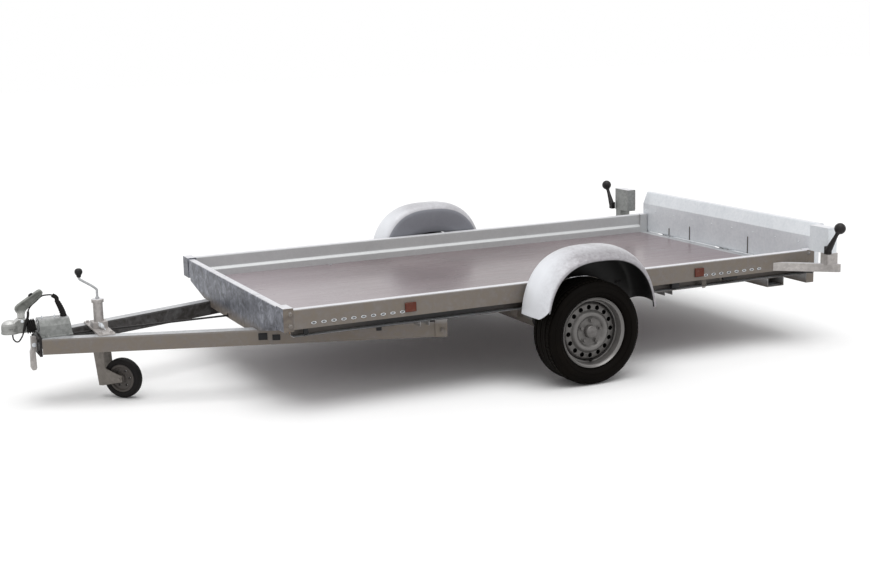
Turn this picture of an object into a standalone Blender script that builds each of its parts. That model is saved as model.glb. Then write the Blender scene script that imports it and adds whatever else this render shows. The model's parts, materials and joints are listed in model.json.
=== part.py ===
# Single-axle braked flatbed trailer, parked on its jockey wheel.
# Metres, +X towards the coupling, +Y to the left, +Z up, ground at Z = 0.
# Sizes are written with the axle at X = 0; one empty shifts the whole to its middle.

import math

import bmesh
import bpy
from mathutils import Matrix, Vector

# Clearance between touching pieces, and of a pin in its bore
GAP = 0.0003
RUNNING = 0.0006

# Bed
BED_HALF_WIDTH = 0.840
BED_HALF_LENGTH = 1.540
SIDE_HEIGHT = 0.115
RAIL_HEIGHT = 0.095
RAIL_DEPTH = 0.040
RAIL_LEDGE = 0.014
RAIL_WALL = 0.003
RAIL_ROUNDING = 0.006
LEDGE_ABOVE_FLOOR = 0.036
FLOOR_TOP = 0.394
FLOOR_THICK = 0.015
FOOT_FLANGE = 0.050

# Lashing slots in the outer web of each side rail
SLOT_PITCH = 0.050
SLOT_LENGTH = 0.020
SLOT_HEIGHT = 0.009
SLOT_ABOVE_FLOOR = 0.044
# First slot from the bed's front or rear end, and how many, for each row
SLOTS_FROM_FRONT = (0.148, 10)
SLOTS_FROM_REAR = (0.374, 8)

# Front and rear frames with their corner posts
POST_WIDTH = 0.095
POST_THICK = 0.050
POST_PROUD = 0.008
POST_DROP = 0.008
POST_WALL = 0.004
FRONT_SETBACK = 0.003
SILL_DEPTH = 0.050
SILL_HEIGHT = 0.052
SILL_WALL = 0.004
SILL_LIP = 0.020

# Cross members under the floor
CROSS_HEIGHT = 0.038
CROSS_WIDTH = 0.050
CROSS_PLACES = (0.80, -0.62)
PAN_DEPTH = 0.045
PAN_DROP = 0.102
PAN_END_HEIGHT = 0.020
PAN_END_INSET = 0.120
PAN_GAUGE = 0.005
ROD_HOLE = 0.010
REAR_TUBE_FROM_REAR = 0.240
REAR_TUBE_WIDTH = 0.110
REAR_TUBE_HEIGHT = 0.056
REAR_TUBE_WALL = 0.004
REAR_TUBE_INSET = 0.025

# Drawbar, two box sections that meet under the overrun housing
BAR_WIDTH = 0.060
BAR_HEIGHT = 0.076
BAR_WALL = 0.004
BAR_REACH = 0.960
BAR_UNDER_BED = 0.880
BAR_NOSE_HALF = 0.094
BAR_REAR_INSET = 0.0983
HANGER_LENGTH = 0.060
HANGER_THICK = 0.006
NOSE_PLATE_THICK = 0.012
NOSE_PLATE_HEIGHT = 0.098
NOSE_PLATE_RISE = 0.012
NOSE_PLATE_INSET = 0.004
STAY_LENGTH = 0.165
STAY_DEPTH = 0.024
STAY_WIDTH = 0.030

# Overrun device and coupling
HOUSING_LENGTH = 0.155
HOUSING_HALF_WIDTH = 0.060
HOUSING_HEIGHT = 0.084
HOUSING_SHOULDER = 0.030
HOUSING_TAPER = 0.026
HOUSING_FLANGE = 0.012
HOUSING_LEAN = 0.010
DRAW_ABOVE_BAR = 0.0515
DRAW_RADIUS = 0.022
BELLOWS_RADIUS = 0.036
BELLOWS_FOLD = 0.008
BELLOWS_RIBS = 4
BELLOWS_LENGTH = 0.040
HEAD_REACH = 0.172
HEAD_RADIUS = 0.044
HEAD_NARROW = 0.86
HEAD_NECK_HALF = 0.026
HEAD_NECK_TOP = 0.045
HEAD_SKIRT = 0.026
SOCKET_RADIUS = 0.0255
HANDLE_WIDTH = 0.032
HANDLE_EDGE = 0.005

# Brake lever and rod from the overrun device to the axle
BRAKE_LEVER_FROM_REAR = 0.060
BRAKE_LEVER_THICK = 0.008
BRAKE_ROD_RADIUS = 0.005
BRAKE_ROD_Y = -0.038
BRAKE_ROD_Z = 0.324
EQUALISER_HALF_WIDTH = 0.060
EQUALISER_HALF_HEIGHT = 0.010
EQUALISER_THICK = 0.006

# Breakaway cable, parked over the handle and round the coupling's neck, and its boot
CABLE_RADIUS = 0.0035
BOOT_HEIGHT = 0.078
# Boot sections: height as a share, lean forwards, radius
BOOT_RINGS = (
    (0.0, 0.0, 0.0155), (0.16, 0.001, 0.0155), (0.36, 0.006, 0.0140), (0.60, 0.013, 0.0120),
    (1.0, 0.026, 0.0080),
)
BOOT_FROM_REAR = 0.0285

# Running gear
TYRE_RADIUS = 0.2625
TYRE_WIDTH = 0.195
TYRE_FROM_RAIL = 0.030
RIM_RADIUS = 0.178
RIM_SEAT = 0.165
RIM_WIDTH = 0.150
RIM_DISC = 0.034
RIM_HOLES = 16
RIM_HOLE_CIRCLE = 0.122
RIM_HOLE_RADIUS = 0.0095
RIM_GAUGE = 0.005
RIM_BORE = 0.0325
DRUM_RADIUS = 0.098
DRUM_WIDTH = 0.060
DRUM_INSET = 0.0825
BACKPLATE_RADIUS = 0.102
BACKPLATE_THICK = 0.004
HUB_CAP_RADIUS = 0.031
HUB_FACE_RADIUS = 0.066
WHEEL_STEPS = 32
SPINDLE_RADIUS = 0.020
SPINDLE_PAST_CENTRE = 0.010
AXLE_TUBE_X = 0.150
AXLE_TUBE_Z = 0.300
AXLE_TUBE_RADIUS = 0.048
AXLE_TUBE_INSET = 0.070
ARM_THICK = 0.026
ARM_END_RADIUS = 0.036
AXLE_PAD_LENGTH = 0.160
AXLE_PAD_WIDTH = 0.070
AXLE_PAD_INSET = 0.200

# Mudguards, swept round the wheel from the front to the rear
GUARD_FROM_RAIL = 0.013
GUARD_GAUGE = 0.003
GUARD_INNER_RADIUS = 0.246
GUARD_CROWN_RADIUS = 0.418
GUARD_LIP_RADIUS = 0.370
GUARD_WIDTH = 0.232
GUARD_BEHIND_AXLE = 0.024
GUARD_RISE = 0.006
GUARD_SLIMNESS = 0.846
GUARD_SQUARENESS = 2.635
GUARD_ANGLES = (16.0, 162.0)
GUARD_STEPS = 18
GUARD_BRACKET_X = 0.235
GUARD_BRACKET_LENGTH = 0.040
GUARD_BRACKET_HEIGHT = 0.045

# Tailgate
GATE_SIDE_GAP = 0.004
GATE_REAR_GAP = 0.005
GATE_THICK = 0.030
GATE_ABOVE_FLOOR = 0.002
GATE_BEND_HEIGHT = 0.180
GATE_HEIGHT = 0.254
GATE_LEAN = 0.030
GATE_WALL = 0.003
GATE_HEM = 0.016
GATE_ROUNDING = 0.008
GATE_END_WIDTH = 0.070
GATE_RIBS = (-0.60, -0.28, 0.0, 0.28, 0.60)
HINGE_RADIUS = 0.011
HINGE_LENGTH = 0.120
HINGE_SLACK = 0.0005
HINGE_DROP = 0.004
HINGE_STRAP = 0.005
HINGE_LEAF = 0.070
HINGE_PLACES = (-0.60, 0.0, 0.60)

# Rear lamp carriers and latch levers
LAMP_FROM_REAR = 0.050
LAMP_FROM_RAIL = 0.054
LAMP_WIDTH = 0.146
LAMP_ABOVE_FLOOR = 0.125
LAMP_HEIGHT = 0.138
LAMP_BOX_DEPTH = 0.060
LAMP_BOX_WALL = 0.003
LENS_DEPTH = 0.030
LENS_PROUD = 0.008
OUTRIGGER_ABOVE_FLOOR = 0.066
OUTRIGGER_HEIGHT = 0.043
OUTRIGGER_HALF_THICK = 0.030
OUTRIGGER_PAST_LAMP = 0.020
LAMP_POST_WIDTH = 0.056
LEVER_BLOCK = (0.014, 0.014, 0.022)
LEVER_FORWARD = 0.044
LEVER_STANDOFF = 0.020
LEVER_ABOVE_BOX = 0.024
# Way from the lever's base to its ball: backwards, outwards, up
LEVER_WAY = (-0.007, 0.086, 0.135)
LEVER_RADIUS = 0.008
LEVER_BALL_RADIUS = 0.022

# Side reflectors
REFLECTOR_PLACES = (0.900, -0.772)
REFLECTOR_LENGTH = 0.058
REFLECTOR_HEIGHT = 0.046
REFLECTOR_THICK = 0.008
REFLECTOR_ABOVE_RAIL = 0.020

# Jockey wheel
JOCKEY_BACK = 0.295
JOCKEY_TUBE_RADIUS = 0.024
JOCKEY_TUBE_BELOW_BAR = 0.040
JOCKEY_TUBE_ABOVE_BAR = 0.1515
JOCKEY_COLLAR_RADIUS = 0.030
JOCKEY_COLLAR_HEIGHT = 0.018
JOCKEY_LID = 0.012
JOCKEY_INNER_RADIUS = 0.020
JOCKEY_INNER_INSET = 0.060
JOCKEY_RADIUS = 0.100
JOCKEY_WIDTH = 0.050
JOCKEY_RIM_RADIUS = 0.070
JOCKEY_PIN_RADIUS = 0.008
JOCKEY_TRAIL = 0.118
JOCKEY_TURN = 135.0
FORK_GAUGE = 0.004
FORK_BELOW_TUBE = 0.028
FORK_SIDE_GAP = 0.006
CRANK_RADIUS = 0.006
CRANK_FIT = 0.0005
CRANK_SEAT = 0.008
KNOB_RADIUS = 0.0195
CLAMP_HEIGHT = 0.040
CLAMP_PLATE = 0.008
CLAMP_WALL = 0.012
CLAMP_HALF_LENGTH = 0.040

# Places worked out from the sizes above
SIDES = (("left", 1), ("right", -1))
BED_FRONT = BED_HALF_LENGTH
BED_REAR = -BED_HALF_LENGTH
RAIL_TOP = FLOOR_TOP + SIDE_HEIGHT
RAIL_LOW = RAIL_TOP - RAIL_HEIGHT
RAIL_INSET = RAIL_DEPTH + RAIL_LEDGE
FLOOR_LOW = FLOOR_TOP - FLOOR_THICK
CROSS_TOP = FLOOR_LOW - GAP
CROSS_LOW = CROSS_TOP - CROSS_HEIGHT
RAIL_FRONT = BED_FRONT - FRONT_SETBACK
BAR_TOP = CROSS_LOW - GAP
BAR_FRONT = BED_FRONT + BAR_REACH
BAR_REAR = BED_FRONT - BAR_UNDER_BED
BAR_LOW = BAR_TOP - BAR_HEIGHT
BAR_SPREAD = (BED_HALF_WIDTH - BAR_REAR_INSET - BAR_NOSE_HALF) / (BAR_FRONT - BAR_REAR)
HOUSING_REAR = BAR_FRONT - HOUSING_LENGTH
HOUSING_TOP = BAR_TOP + HOUSING_HEIGHT
DRAW_AXIS_Z = BAR_TOP + DRAW_ABOVE_BAR
HEAD_TIP = BAR_FRONT + HEAD_REACH
HEAD_BALL_X = HEAD_TIP - HEAD_RADIUS
HEAD_REAR = BAR_FRONT + NOSE_PLATE_THICK + BELLOWS_LENGTH + 3 * GAP
NECK_TOP = DRAW_AXIS_Z + HEAD_NECK_TOP
AXLE_Z = TYRE_RADIUS
TYRE_CENTRE_Y = BED_HALF_WIDTH + TYRE_FROM_RAIL + TYRE_WIDTH / 2
GATE_FACE = BED_REAR - GATE_REAR_GAP
GATE_BACK = GATE_FACE - GATE_THICK
GATE_LOW = FLOOR_TOP + GATE_ABOVE_FLOOR
GATE_HALF_WIDTH = BED_HALF_WIDTH - GATE_SIDE_GAP
HINGE_X = GATE_BACK - HINGE_RADIUS
HINGE_Z = GATE_LOW - HINGE_DROP
REAR_END = GATE_BACK - GATE_LEAN
MIDDLE_X = (HEAD_TIP + REAR_END) / 2
REAR_TUBE_X = BED_REAR + REAR_TUBE_FROM_REAR
LAMP_X = BED_REAR + LAMP_FROM_REAR
LAMP_INNER = BED_HALF_WIDTH + LAMP_FROM_RAIL
LAMP_OUTER = LAMP_INNER + LAMP_WIDTH
LAMP_LOW = FLOOR_TOP + LAMP_ABOVE_FLOOR
JOCKEY_X = BAR_FRONT - JOCKEY_BACK
JOCKEY_TUBE_TOP = BAR_TOP + JOCKEY_TUBE_ABOVE_BAR
JOCKEY_TUBE_LOW = BAR_TOP - JOCKEY_TUBE_BELOW_BAR
FORK_TOP = JOCKEY_TUBE_LOW - FORK_BELOW_TUBE

# Name: colour, roughness, metallic
FINISHES = {
    "galvanised": ((0.55, 0.56, 0.57), 0.42, 0.85),
    "plywood": ((0.30, 0.22, 0.22), 0.30, 0.0),
    "rubber": ((0.02, 0.02, 0.02), 0.75, 0.0),
    "rim_paint": ((0.62, 0.62, 0.63), 0.35, 0.7),
    "guard": ((0.72, 0.73, 0.74), 0.40, 0.3),
    "black_plastic": ((0.015, 0.015, 0.016), 0.45, 0.0),
    "black_steel": ((0.03, 0.03, 0.032), 0.55, 0.4),
    "cast_steel": ((0.40, 0.40, 0.39), 0.50, 0.8),
    "amber": ((0.70, 0.16, 0.03), 0.25, 0.0),
    "red_lens": ((0.45, 0.02, 0.02), 0.25, 0.0),
}

# How a point of a flat outline and a height become X, Y, Z, for each axis of extrusion
PLACED = {
    "X": lambda a, b, height: (height, a, b),
    "Y": lambda a, b, height: (a, height, b),
    "Z": lambda a, b, height: (a, b, height),
}


def clear_scene():
    for old in list(bpy.data.objects):
        bpy.data.objects.remove(old, do_unlink=True)


def finish(name):
    made = bpy.data.materials.new(name)
    made.use_nodes = True
    shader = made.node_tree.nodes["Principled BSDF"]
    colour, rough, metal = FINISHES[name]
    shader.inputs["Base Color"].default_value = (*colour, 1.0)
    shader.inputs["Roughness"].default_value = rough
    shader.inputs["Metallic"].default_value = metal
    made.diffuse_color = (*colour, 1.0)
    return made


def loft(loops, ring=False):
    """Closed solid through equal loops of points, capped at both ends, or joined end to end in a ring."""
    mesh = bmesh.new()
    rows = [[mesh.verts.new(point) for point in loop] for loop in loops]
    pairs = list(zip(rows, rows[1:]))
    if ring:
        pairs.append((rows[-1], rows[0]))
    for row, following in pairs:
        for i in range(len(row)):
            j = (i + 1) % len(row)
            mesh.faces.new((row[i], row[j], following[j], following[i]))
    if not ring:
        mesh.faces.new(reversed(rows[0]))
        mesh.faces.new(rows[-1])
    bmesh.ops.remove_doubles(mesh, verts=mesh.verts, dist=1e-6)
    bmesh.ops.recalc_face_normals(mesh, faces=mesh.faces)
    return mesh


def prism(outline, axis, low, high):
    """Outline is (Y, Z) along X, (X, Z) along Y or (X, Y) along Z."""
    low, high = sorted((low, high))
    return loft([[PLACED[axis](a, b, height) for a, b in outline] for height in (low, high)])


def box(low, high):
    """Box between two corners, given in any order."""
    x, y, z = [sorted(pair) for pair in zip(low, high)]
    return prism(((x[0], y[0]), (x[1], y[0]), (x[1], y[1]), (x[0], y[1])), "Z", *z)


def circle(radius, steps):
    return [
        (radius * math.cos(2 * math.pi * i / steps), radius * math.sin(2 * math.pi * i / steps))
        for i in range(steps)
    ]


def turned(profile, steps=24, axis="Y"):
    """Closed profile of (radius, along), off the axis, turned about it."""
    loops = []
    for a, b in circle(1.0, steps):
        loops.append([PLACED[axis](radius * a, radius * b, along) for radius, along in profile])
    return loft(loops, ring=True)


def drum(profile, steps=24, axis="Y"):
    """Profile of (radius, along) from end to end, turned about the axis and closed by flat ends."""
    return loft([[PLACED[axis](a, b, along) for a, b in circle(radius, steps)] for radius, along in profile])


def arc(centre, radius, start, end, steps):
    """Points on an arc, in degrees."""
    found = []
    for step in range(steps + 1):
        angle = math.radians(start + (end - start) * step / steps)
        found.append((centre[0] + radius * math.cos(angle), centre[1] + radius * math.sin(angle)))
    return found


def rounded(path, radius, steps=2):
    """The open path with its inner corners turned into arcs of the given radius."""
    found = [Vector(path[0])]
    for before, corner, after in zip(path, path[1:], path[2:]):
        corner = Vector(corner)
        towards = Vector(before) - corner
        away = Vector(after) - corner
        half = towards.angle(away) / 2
        reach = min(radius / math.tan(half), 0.45 * towards.length, 0.45 * away.length)
        towards.normalize()
        away.normalize()
        centre = corner + (towards + away).normalized() * reach / math.cos(half)
        start = corner + towards * reach - centre
        sweep = start.angle_signed(corner + away * reach - centre)
        for step in range(steps + 1):
            found.append(centre + Matrix.Rotation(-sweep * step / steps, 2) @ start)
    found.append(Vector(path[-1]))
    return [tuple(point) for point in found]


def rolled(path, gauge):
    """Closed outline of sheet of this gauge on the left of the path, or on the right if it is negative."""
    points = [Vector(point) for point in path]
    inner = []
    for i, point in enumerate(points):
        ways = []
        if i:
            ways.append((point - points[i - 1]).normalized())
        if i < len(points) - 1:
            ways.append((points[i + 1] - point).normalized())
        normals = [Vector((way.y, -way.x)) for way in ways]
        mean = sum(normals, Vector((0, 0))).normalized()
        inner.append(point + mean * gauge / mean.dot(normals[0]))
    return [tuple(point) for point in points] + [tuple(point) for point in reversed(inner)]


def mirrored(half):
    """Closed outline from its points at one side, top to bottom or bottom to top."""
    return half + [(-across, height) for across, height in reversed(half)]


def material(name):
    return bpy.data.materials.get(name) or finish(name)


def solid(name, mesh, finish_name, parent, at=(0, 0, 0), turn=0.0, smooth=0.0):
    """Named object of this bmesh. Edges sharper than smooth degrees stay sharp; zero is flat shading."""
    data = bpy.data.meshes.new(name)
    mesh.to_mesh(data)
    mesh.free()
    made = bpy.data.objects.new(name, data)
    bpy.context.scene.collection.objects.link(made)
    data.materials.append(material(finish_name))
    made.parent = parent
    made.location = at
    made.rotation_euler = (0, 0, math.radians(turn))
    if smooth:
        data.shade_smooth()
        data.set_sharp_from_angle(angle=math.radians(smooth))
    return made


def helper(target, kind, mesh, at=(0, 0, 0)):
    """Adds a Boolean of this kind to the target, with a hidden solid in the target's own space."""
    tool = solid(target.name + "_" + kind.lower(), mesh, target.data.materials[0].name, target.parent)
    tool.location = target.location + Matrix.Rotation(target.rotation_euler.z, 3, "Z") @ Vector(at)
    tool.rotation_euler = target.rotation_euler
    tool.hide_render = True
    tool.display_type = "WIRE"
    step = target.modifiers.new(kind.lower(), "BOOLEAN")
    step.operation = kind
    step.solver = "EXACT"
    step.object = tool
    return tool


def merged(*meshes):
    """One bmesh of several solids that don't touch, for a cutter."""
    whole = bmesh.new()
    for mesh in meshes:
        data = bpy.data.meshes.new("merged")
        mesh.to_mesh(data)
        mesh.free()
        whole.from_mesh(data)
        bpy.data.meshes.remove(data)
    return whole


def rod(name, points, radius, finish_name, parent):
    """Round bar or cable through the points, with closed ends."""
    data = bpy.data.curves.new(name, "CURVE")
    data.dimensions = "3D"
    data.bevel_depth = radius
    data.bevel_resolution = 2
    data.use_fill_caps = True
    spline = data.splines.new("POLY")
    spline.points.add(len(points) - 1)
    for slot, point in zip(spline.points, points):
        slot.co = (*point, 1.0)
    data.materials.append(material(finish_name))
    made = bpy.data.objects.new(name, data)
    bpy.context.scene.collection.objects.link(made)
    made.parent = parent
    return made


def smooth_route(points, per_span):
    """Catmull-Rom curve through the points."""
    ways = [Vector(point) for point in points]
    ways = [2 * ways[0] - ways[1]] + ways + [2 * ways[-1] - ways[-2]]
    found = []
    for a, b, c, d in zip(ways, ways[1:], ways[2:], ways[3:]):
        square = 2 * a - 5 * b + 4 * c - d
        cube = 3 * b - a - 3 * c + d
        for step in range(per_span):
            t = step / per_span
            found.append(0.5 * (2 * b + (c - a) * t + square * t**2 + cube * t**3))
    found.append(ways[-2])
    return [tuple(point) for point in found]


def bar_half(x):
    """Y of a drawbar's outer face at this X."""
    return BAR_NOSE_HALF + BAR_SPREAD * (BAR_FRONT - x)


def make_side_rails(root):
    """Rolled rails: outer web with lashing slots, top flange, inner wall with a ledge, and a foot flange."""
    front = BED_FRONT - POST_THICK - GAP
    rear = BED_REAR + SILL_DEPTH + GAP
    ledge = FLOOR_TOP + LEDGE_ABOVE_FLOOR
    foot = FLOOR_LOW - RAIL_WALL
    outer = BED_HALF_WIDTH
    web = outer - RAIL_DEPTH
    inner = outer - RAIL_INSET
    path = rounded([
        (outer, RAIL_LOW), (outer, RAIL_TOP), (web, RAIL_TOP), (web, ledge + RAIL_LEDGE),
        (inner, ledge), (inner, foot), (inner + FOOT_FLANGE, foot),
    ], RAIL_ROUNDING)
    section = rolled(path, -RAIL_WALL)
    first, count = SLOTS_FROM_FRONT
    places = [BED_FRONT - first - i * SLOT_PITCH for i in range(count)]
    first, count = SLOTS_FROM_REAR
    places += [BED_REAR + first + i * SLOT_PITCH for i in range(count)]
    z = FLOOR_TOP + SLOT_ABOVE_FLOOR
    radius = SLOT_HEIGHT / 2
    half = SLOT_LENGTH / 2 - radius
    for side, sign in SIDES:
        outline = [(sign * y, z_point) for y, z_point in section]
        rail = solid("side_rail_" + side, prism(outline, "X", rear, front), "galvanised", root)
        slots = []
        for x in places:
            shape = arc((x + half, z), radius, -90, 90, 2) + arc((x - half, z), radius, 90, 270, 2)
            slots.append(prism(shape, "Y", sign * (outer - 3 * RAIL_WALL), sign * (outer + RAIL_WALL)))
        helper(rail, "DIFFERENCE", merged(*slots))


def make_front_frame(root):
    """Front rail, rolled like the side rails and open below, between two pressed corner posts."""
    ledge = FLOOR_TOP + LEDGE_ABOVE_FLOOR
    web = RAIL_FRONT - RAIL_DEPTH
    inner = RAIL_FRONT - RAIL_INSET
    path = rounded([
        (RAIL_FRONT, RAIL_LOW), (RAIL_FRONT, RAIL_TOP), (web, RAIL_TOP), (web, ledge + RAIL_LEDGE),
        (inner, ledge), (inner, FLOOR_LOW),
    ], RAIL_ROUNDING)
    reach = BED_HALF_WIDTH - POST_WIDTH + POST_WALL / 2
    frame = solid("front_frame", prism(rolled(path, -RAIL_WALL), "Y", -reach, reach), "galvanised", root)
    low = RAIL_LOW - POST_DROP
    top = RAIL_TOP + POST_PROUD
    w = POST_WALL
    for side, sign in SIDES:
        near = sign * (BED_HALF_WIDTH - POST_WIDTH)
        far = sign * BED_HALF_WIDTH
        helper(frame, "UNION", box((BED_FRONT - POST_THICK, near, low), (BED_FRONT, far, top)))
        pocket = box(
            (BED_FRONT - POST_THICK + w, near + sign * w, low - w), (BED_FRONT - w, far - sign * w, top - w)
        )
        helper(frame, "DIFFERENCE", pocket)


def make_rear_frame(root):
    """Folded sill, open below, between two posts, with the fixed knuckles of the tailgate's hinges."""
    low = FLOOR_LOW - GAP - SILL_HEIGHT
    front = BED_REAR + SILL_DEPTH
    path = [
        (BED_REAR + SILL_LIP, low), (BED_REAR, low), (BED_REAR, FLOOR_TOP), (front, FLOOR_TOP), (front, low),
    ]
    reach = BED_HALF_WIDTH - RAIL_DEPTH / 2
    frame = solid("rear_frame", prism(rolled(path, SILL_WALL), "Y", -reach, reach), "galvanised", root)
    w = POST_WALL
    for side, sign in SIDES:
        near = sign * (BED_HALF_WIDTH - RAIL_INSET)
        far = sign * BED_HALF_WIDTH
        helper(frame, "UNION", box((BED_REAR, near, low), (front, far, RAIL_TOP)))
        pocket = box(
            (BED_REAR + w, near + sign * w, low - w), (front - w, far - sign * w, RAIL_TOP - w)
        )
        helper(frame, "DIFFERENCE", pocket)
    third = HINGE_LENGTH / 3
    half = third / 2 - HINGE_SLACK
    for place in HINGE_PLACES:
        for y in (place - third, place + third):
            low = HINGE_Z - HINGE_RADIUS
            strap = box((HINGE_X, y - half, low), (BED_REAR + SILL_WALL / 2, y + half, low + HINGE_STRAP))
            helper(frame, "UNION", strap)
            knuckle = drum(((HINGE_RADIUS, -half), (HINGE_RADIUS, half)), 12)
            helper(frame, "UNION", knuckle, (HINGE_X, y, HINGE_Z))


def make_floor(root):
    rear = BED_REAR + SILL_DEPTH + GAP
    front = RAIL_FRONT - RAIL_INSET - GAP
    half = BED_HALF_WIDTH - RAIL_INSET - GAP
    solid("deck_board", box((rear, -half, FLOOR_LOW), (front, half, FLOOR_TOP)), "plywood", root)


def make_cross_members(root):
    """Channels under the floor, the deep tapered pan at the front and the wide tube at the rear."""
    reach = BED_HALF_WIDTH - RAIL_INSET - RAIL_WALL
    for i, x in enumerate(CROSS_PLACES):
        rear, front = x - CROSS_WIDTH / 2, x + CROSS_WIDTH / 2
        path = [(rear, CROSS_LOW), (rear, CROSS_TOP), (front, CROSS_TOP), (front, CROSS_LOW)]
        mesh = prism(rolled(path, RAIL_WALL), "Y", -reach, reach)
        solid("cross_member_" + "ab"[i], mesh, "galvanised", root)
    low = CROSS_TOP - REAR_TUBE_HEIGHT
    top = FLOOR_LOW - RAIL_WALL - GAP
    half = REAR_TUBE_WIDTH / 2
    reach = BED_HALF_WIDTH - REAR_TUBE_INSET
    tube = box((REAR_TUBE_X - half, -reach, low), (REAR_TUBE_X + half, reach, top))
    tube = solid("rear_cross_tube", tube, "galvanised", root)
    w = REAR_TUBE_WALL
    bore = box((REAR_TUBE_X - half + w, -reach - w, low + w), (REAR_TUBE_X + half - w, reach + w, top - w))
    helper(tube, "DIFFERENCE", bore)
    make_front_pan(root)


def make_front_pan(root):
    """Pressed pan below the front rail: it sits on the drawbar and hangs down between the two bars."""
    front = RAIL_FRONT
    rear = front - PAN_DEPTH
    top = RAIL_LOW - GAP
    end = BED_HALF_WIDTH - PAN_END_INSET
    outer = bar_half(BED_FRONT) + BAR_WIDTH / 2
    inner = bar_half(BED_FRONT) - 1.4 * BAR_WIDTH
    seat = BAR_TOP + GAP
    low = top - PAN_DROP
    g = PAN_GAUGE
    half = [(end, top), (end, top - PAN_END_HEIGHT), (outer, seat), (inner, seat), (inner, low)]
    pan = solid("front_cross_member", prism(mirrored(half), "X", rear, front), "galvanised", root)
    half = [
        (end - g, top - g), (end - g, top - PAN_END_HEIGHT + g / 2), (outer, seat + g),
        (inner - g, seat + g), (inner - g, low + g),
    ]
    helper(pan, "DIFFERENCE", prism(mirrored(half), "X", rear - g, front - g))
    y, z = BRAKE_ROD_Y, BRAKE_ROD_Z
    hole = box((front - 2 * g, y - ROD_HOLE, z - ROD_HOLE), (front + g, y + ROD_HOLE, z + ROD_HOLE))
    helper(pan, "DIFFERENCE", hole)


def make_drawbar(root):
    """Two box sections at the spread angle, hangers at their rear ends, the nose plate and the stay."""
    turn = math.atan(BAR_SPREAD)
    length = (BAR_FRONT - BAR_REAR) / math.cos(turn)
    w = BAR_WALL
    for side, sign in SIDES:
        at = (BAR_FRONT, sign * BAR_NOSE_HALF, 0)
        angle = -sign * math.degrees(turn)
        bar = box((-length, 0, BAR_LOW), (0, -sign * BAR_WIDTH, BAR_TOP))
        bar = solid("drawbar_" + side, bar, "galvanised", root, at, angle)
        bore = box((-length - w, -sign * w, BAR_LOW + w), (w, -sign * (BAR_WIDTH - w), BAR_TOP - w))
        helper(bar, "DIFFERENCE", bore)
        hanger = box(
            (-length, sign * GAP, BAR_LOW),
            (HANGER_LENGTH - length, sign * (GAP + HANGER_THICK), FLOOR_LOW - GAP),
        )
        solid("drawbar_hanger_" + side, hanger, "galvanised", root, at, angle)
    rear = BAR_FRONT + GAP
    front = rear + NOSE_PLATE_THICK
    half = BAR_NOSE_HALF - NOSE_PLATE_INSET
    top = BAR_TOP + NOSE_PLATE_RISE
    plate = box((rear, -half, top - NOSE_PLATE_HEIGHT), (front, half, top))
    solid("drawbar_nose_plate", plate, "black_steel", root)
    # Distance in front of the plate and below the stay's top, down the rear and up the front
    bent = (
        (0.0, 0.0), (0.0, 0.062), (0.008, 0.074), (0.006, STAY_LENGTH - 0.010), (0.012, STAY_LENGTH),
        (0.028, STAY_LENGTH), (0.034, STAY_LENGTH - 0.012), (0.032, 0.074), (0.026, 0.060), (STAY_DEPTH, 0.0),
    )
    top -= HOUSING_FLANGE
    outline = [(front + GAP + x, top - down) for x, down in bent]
    solid("nose_stay", prism(outline, "Y", -STAY_WIDTH / 2, STAY_WIDTH / 2), "galvanised", root)


def make_coupling(root):
    """Overrun housing, draw tube with its bellows, coupling head, handle, cable and brake rod."""
    front = BAR_FRONT + NOSE_PLATE_THICK + 2 * GAP
    at = (0, 0, DRAW_AXIS_Z)
    tube = drum(((DRAW_RADIUS, BAR_FRONT + GAP), (DRAW_RADIUS, HEAD_REAR - GAP)), 20, "X")
    solid("draw_tube", tube, "cast_steel", root, at, 0, 40)
    rib = BELLOWS_LENGTH / BELLOWS_RIBS
    valley = BELLOWS_RADIUS - BELLOWS_FOLD
    bore = DRAW_RADIUS + GAP
    profile = [(bore, front)]
    for i in range(BELLOWS_RIBS):
        profile += [(valley, front + i * rib), (BELLOWS_RADIUS, front + (i + 0.5) * rib)]
    profile += [(valley, front + BELLOWS_LENGTH), (bore, front + BELLOWS_LENGTH)]
    solid("bellows", turned(profile, 20, "X"), "rubber", root, at, 0, 50)
    make_housing(root)
    make_head(root)
    make_handle(root)
    make_cable(root)
    make_brake_rod(root)


def make_housing(root):
    """Pressed housing on the drawbar, narrower at the top, with side flanges and the brake lever below."""
    low = BAR_TOP + GAP
    w = HOUSING_HALF_WIDTH
    flange = w + HOUSING_FLANGE
    step = HOUSING_FLANGE / 3
    half = [
        (flange, low), (flange, low + step), (w, low + 2 * step), (w - step, HOUSING_TOP - HOUSING_SHOULDER),
        (w - 0.7 * HOUSING_TAPER, HOUSING_TOP - step), (w - HOUSING_TAPER, HOUSING_TOP),
    ]
    mesh = prism(mirrored(half), "X", HOUSING_REAR, BAR_FRONT - GAP)
    housing = solid("overrun_housing", mesh, "galvanised", root, smooth=20)
    rear = HOUSING_REAR - HOUSING_LEAN
    wedge = [
        (rear, low - step), (HOUSING_REAR, low - step), (HOUSING_REAR + HOUSING_LEAN, HOUSING_TOP + step),
        (rear, HOUSING_TOP + step),
    ]
    helper(housing, "DIFFERENCE", prism(wedge, "Y", -2 * w, 2 * w))
    x = HOUSING_REAR + BRAKE_LEVER_FROM_REAR
    foot = BRAKE_ROD_Z - 2 * BRAKE_ROD_RADIUS
    lever = [(x, low + step), (x + 0.026, low + step), (x + 0.014, foot), (x, foot)]
    half = BRAKE_LEVER_THICK / 2
    helper(housing, "UNION", prism(lever, "Y", BRAKE_ROD_Y - half, BRAKE_ROD_Y + half))


def head_ring(radius, z, steps, narrow=1.0):
    """Level circle round the ball's centre, at this height from the draw axis."""
    return [(HEAD_BALL_X + a, narrow * b, DRAW_AXIS_Z + z) for a, b in circle(radius, steps)]


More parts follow.
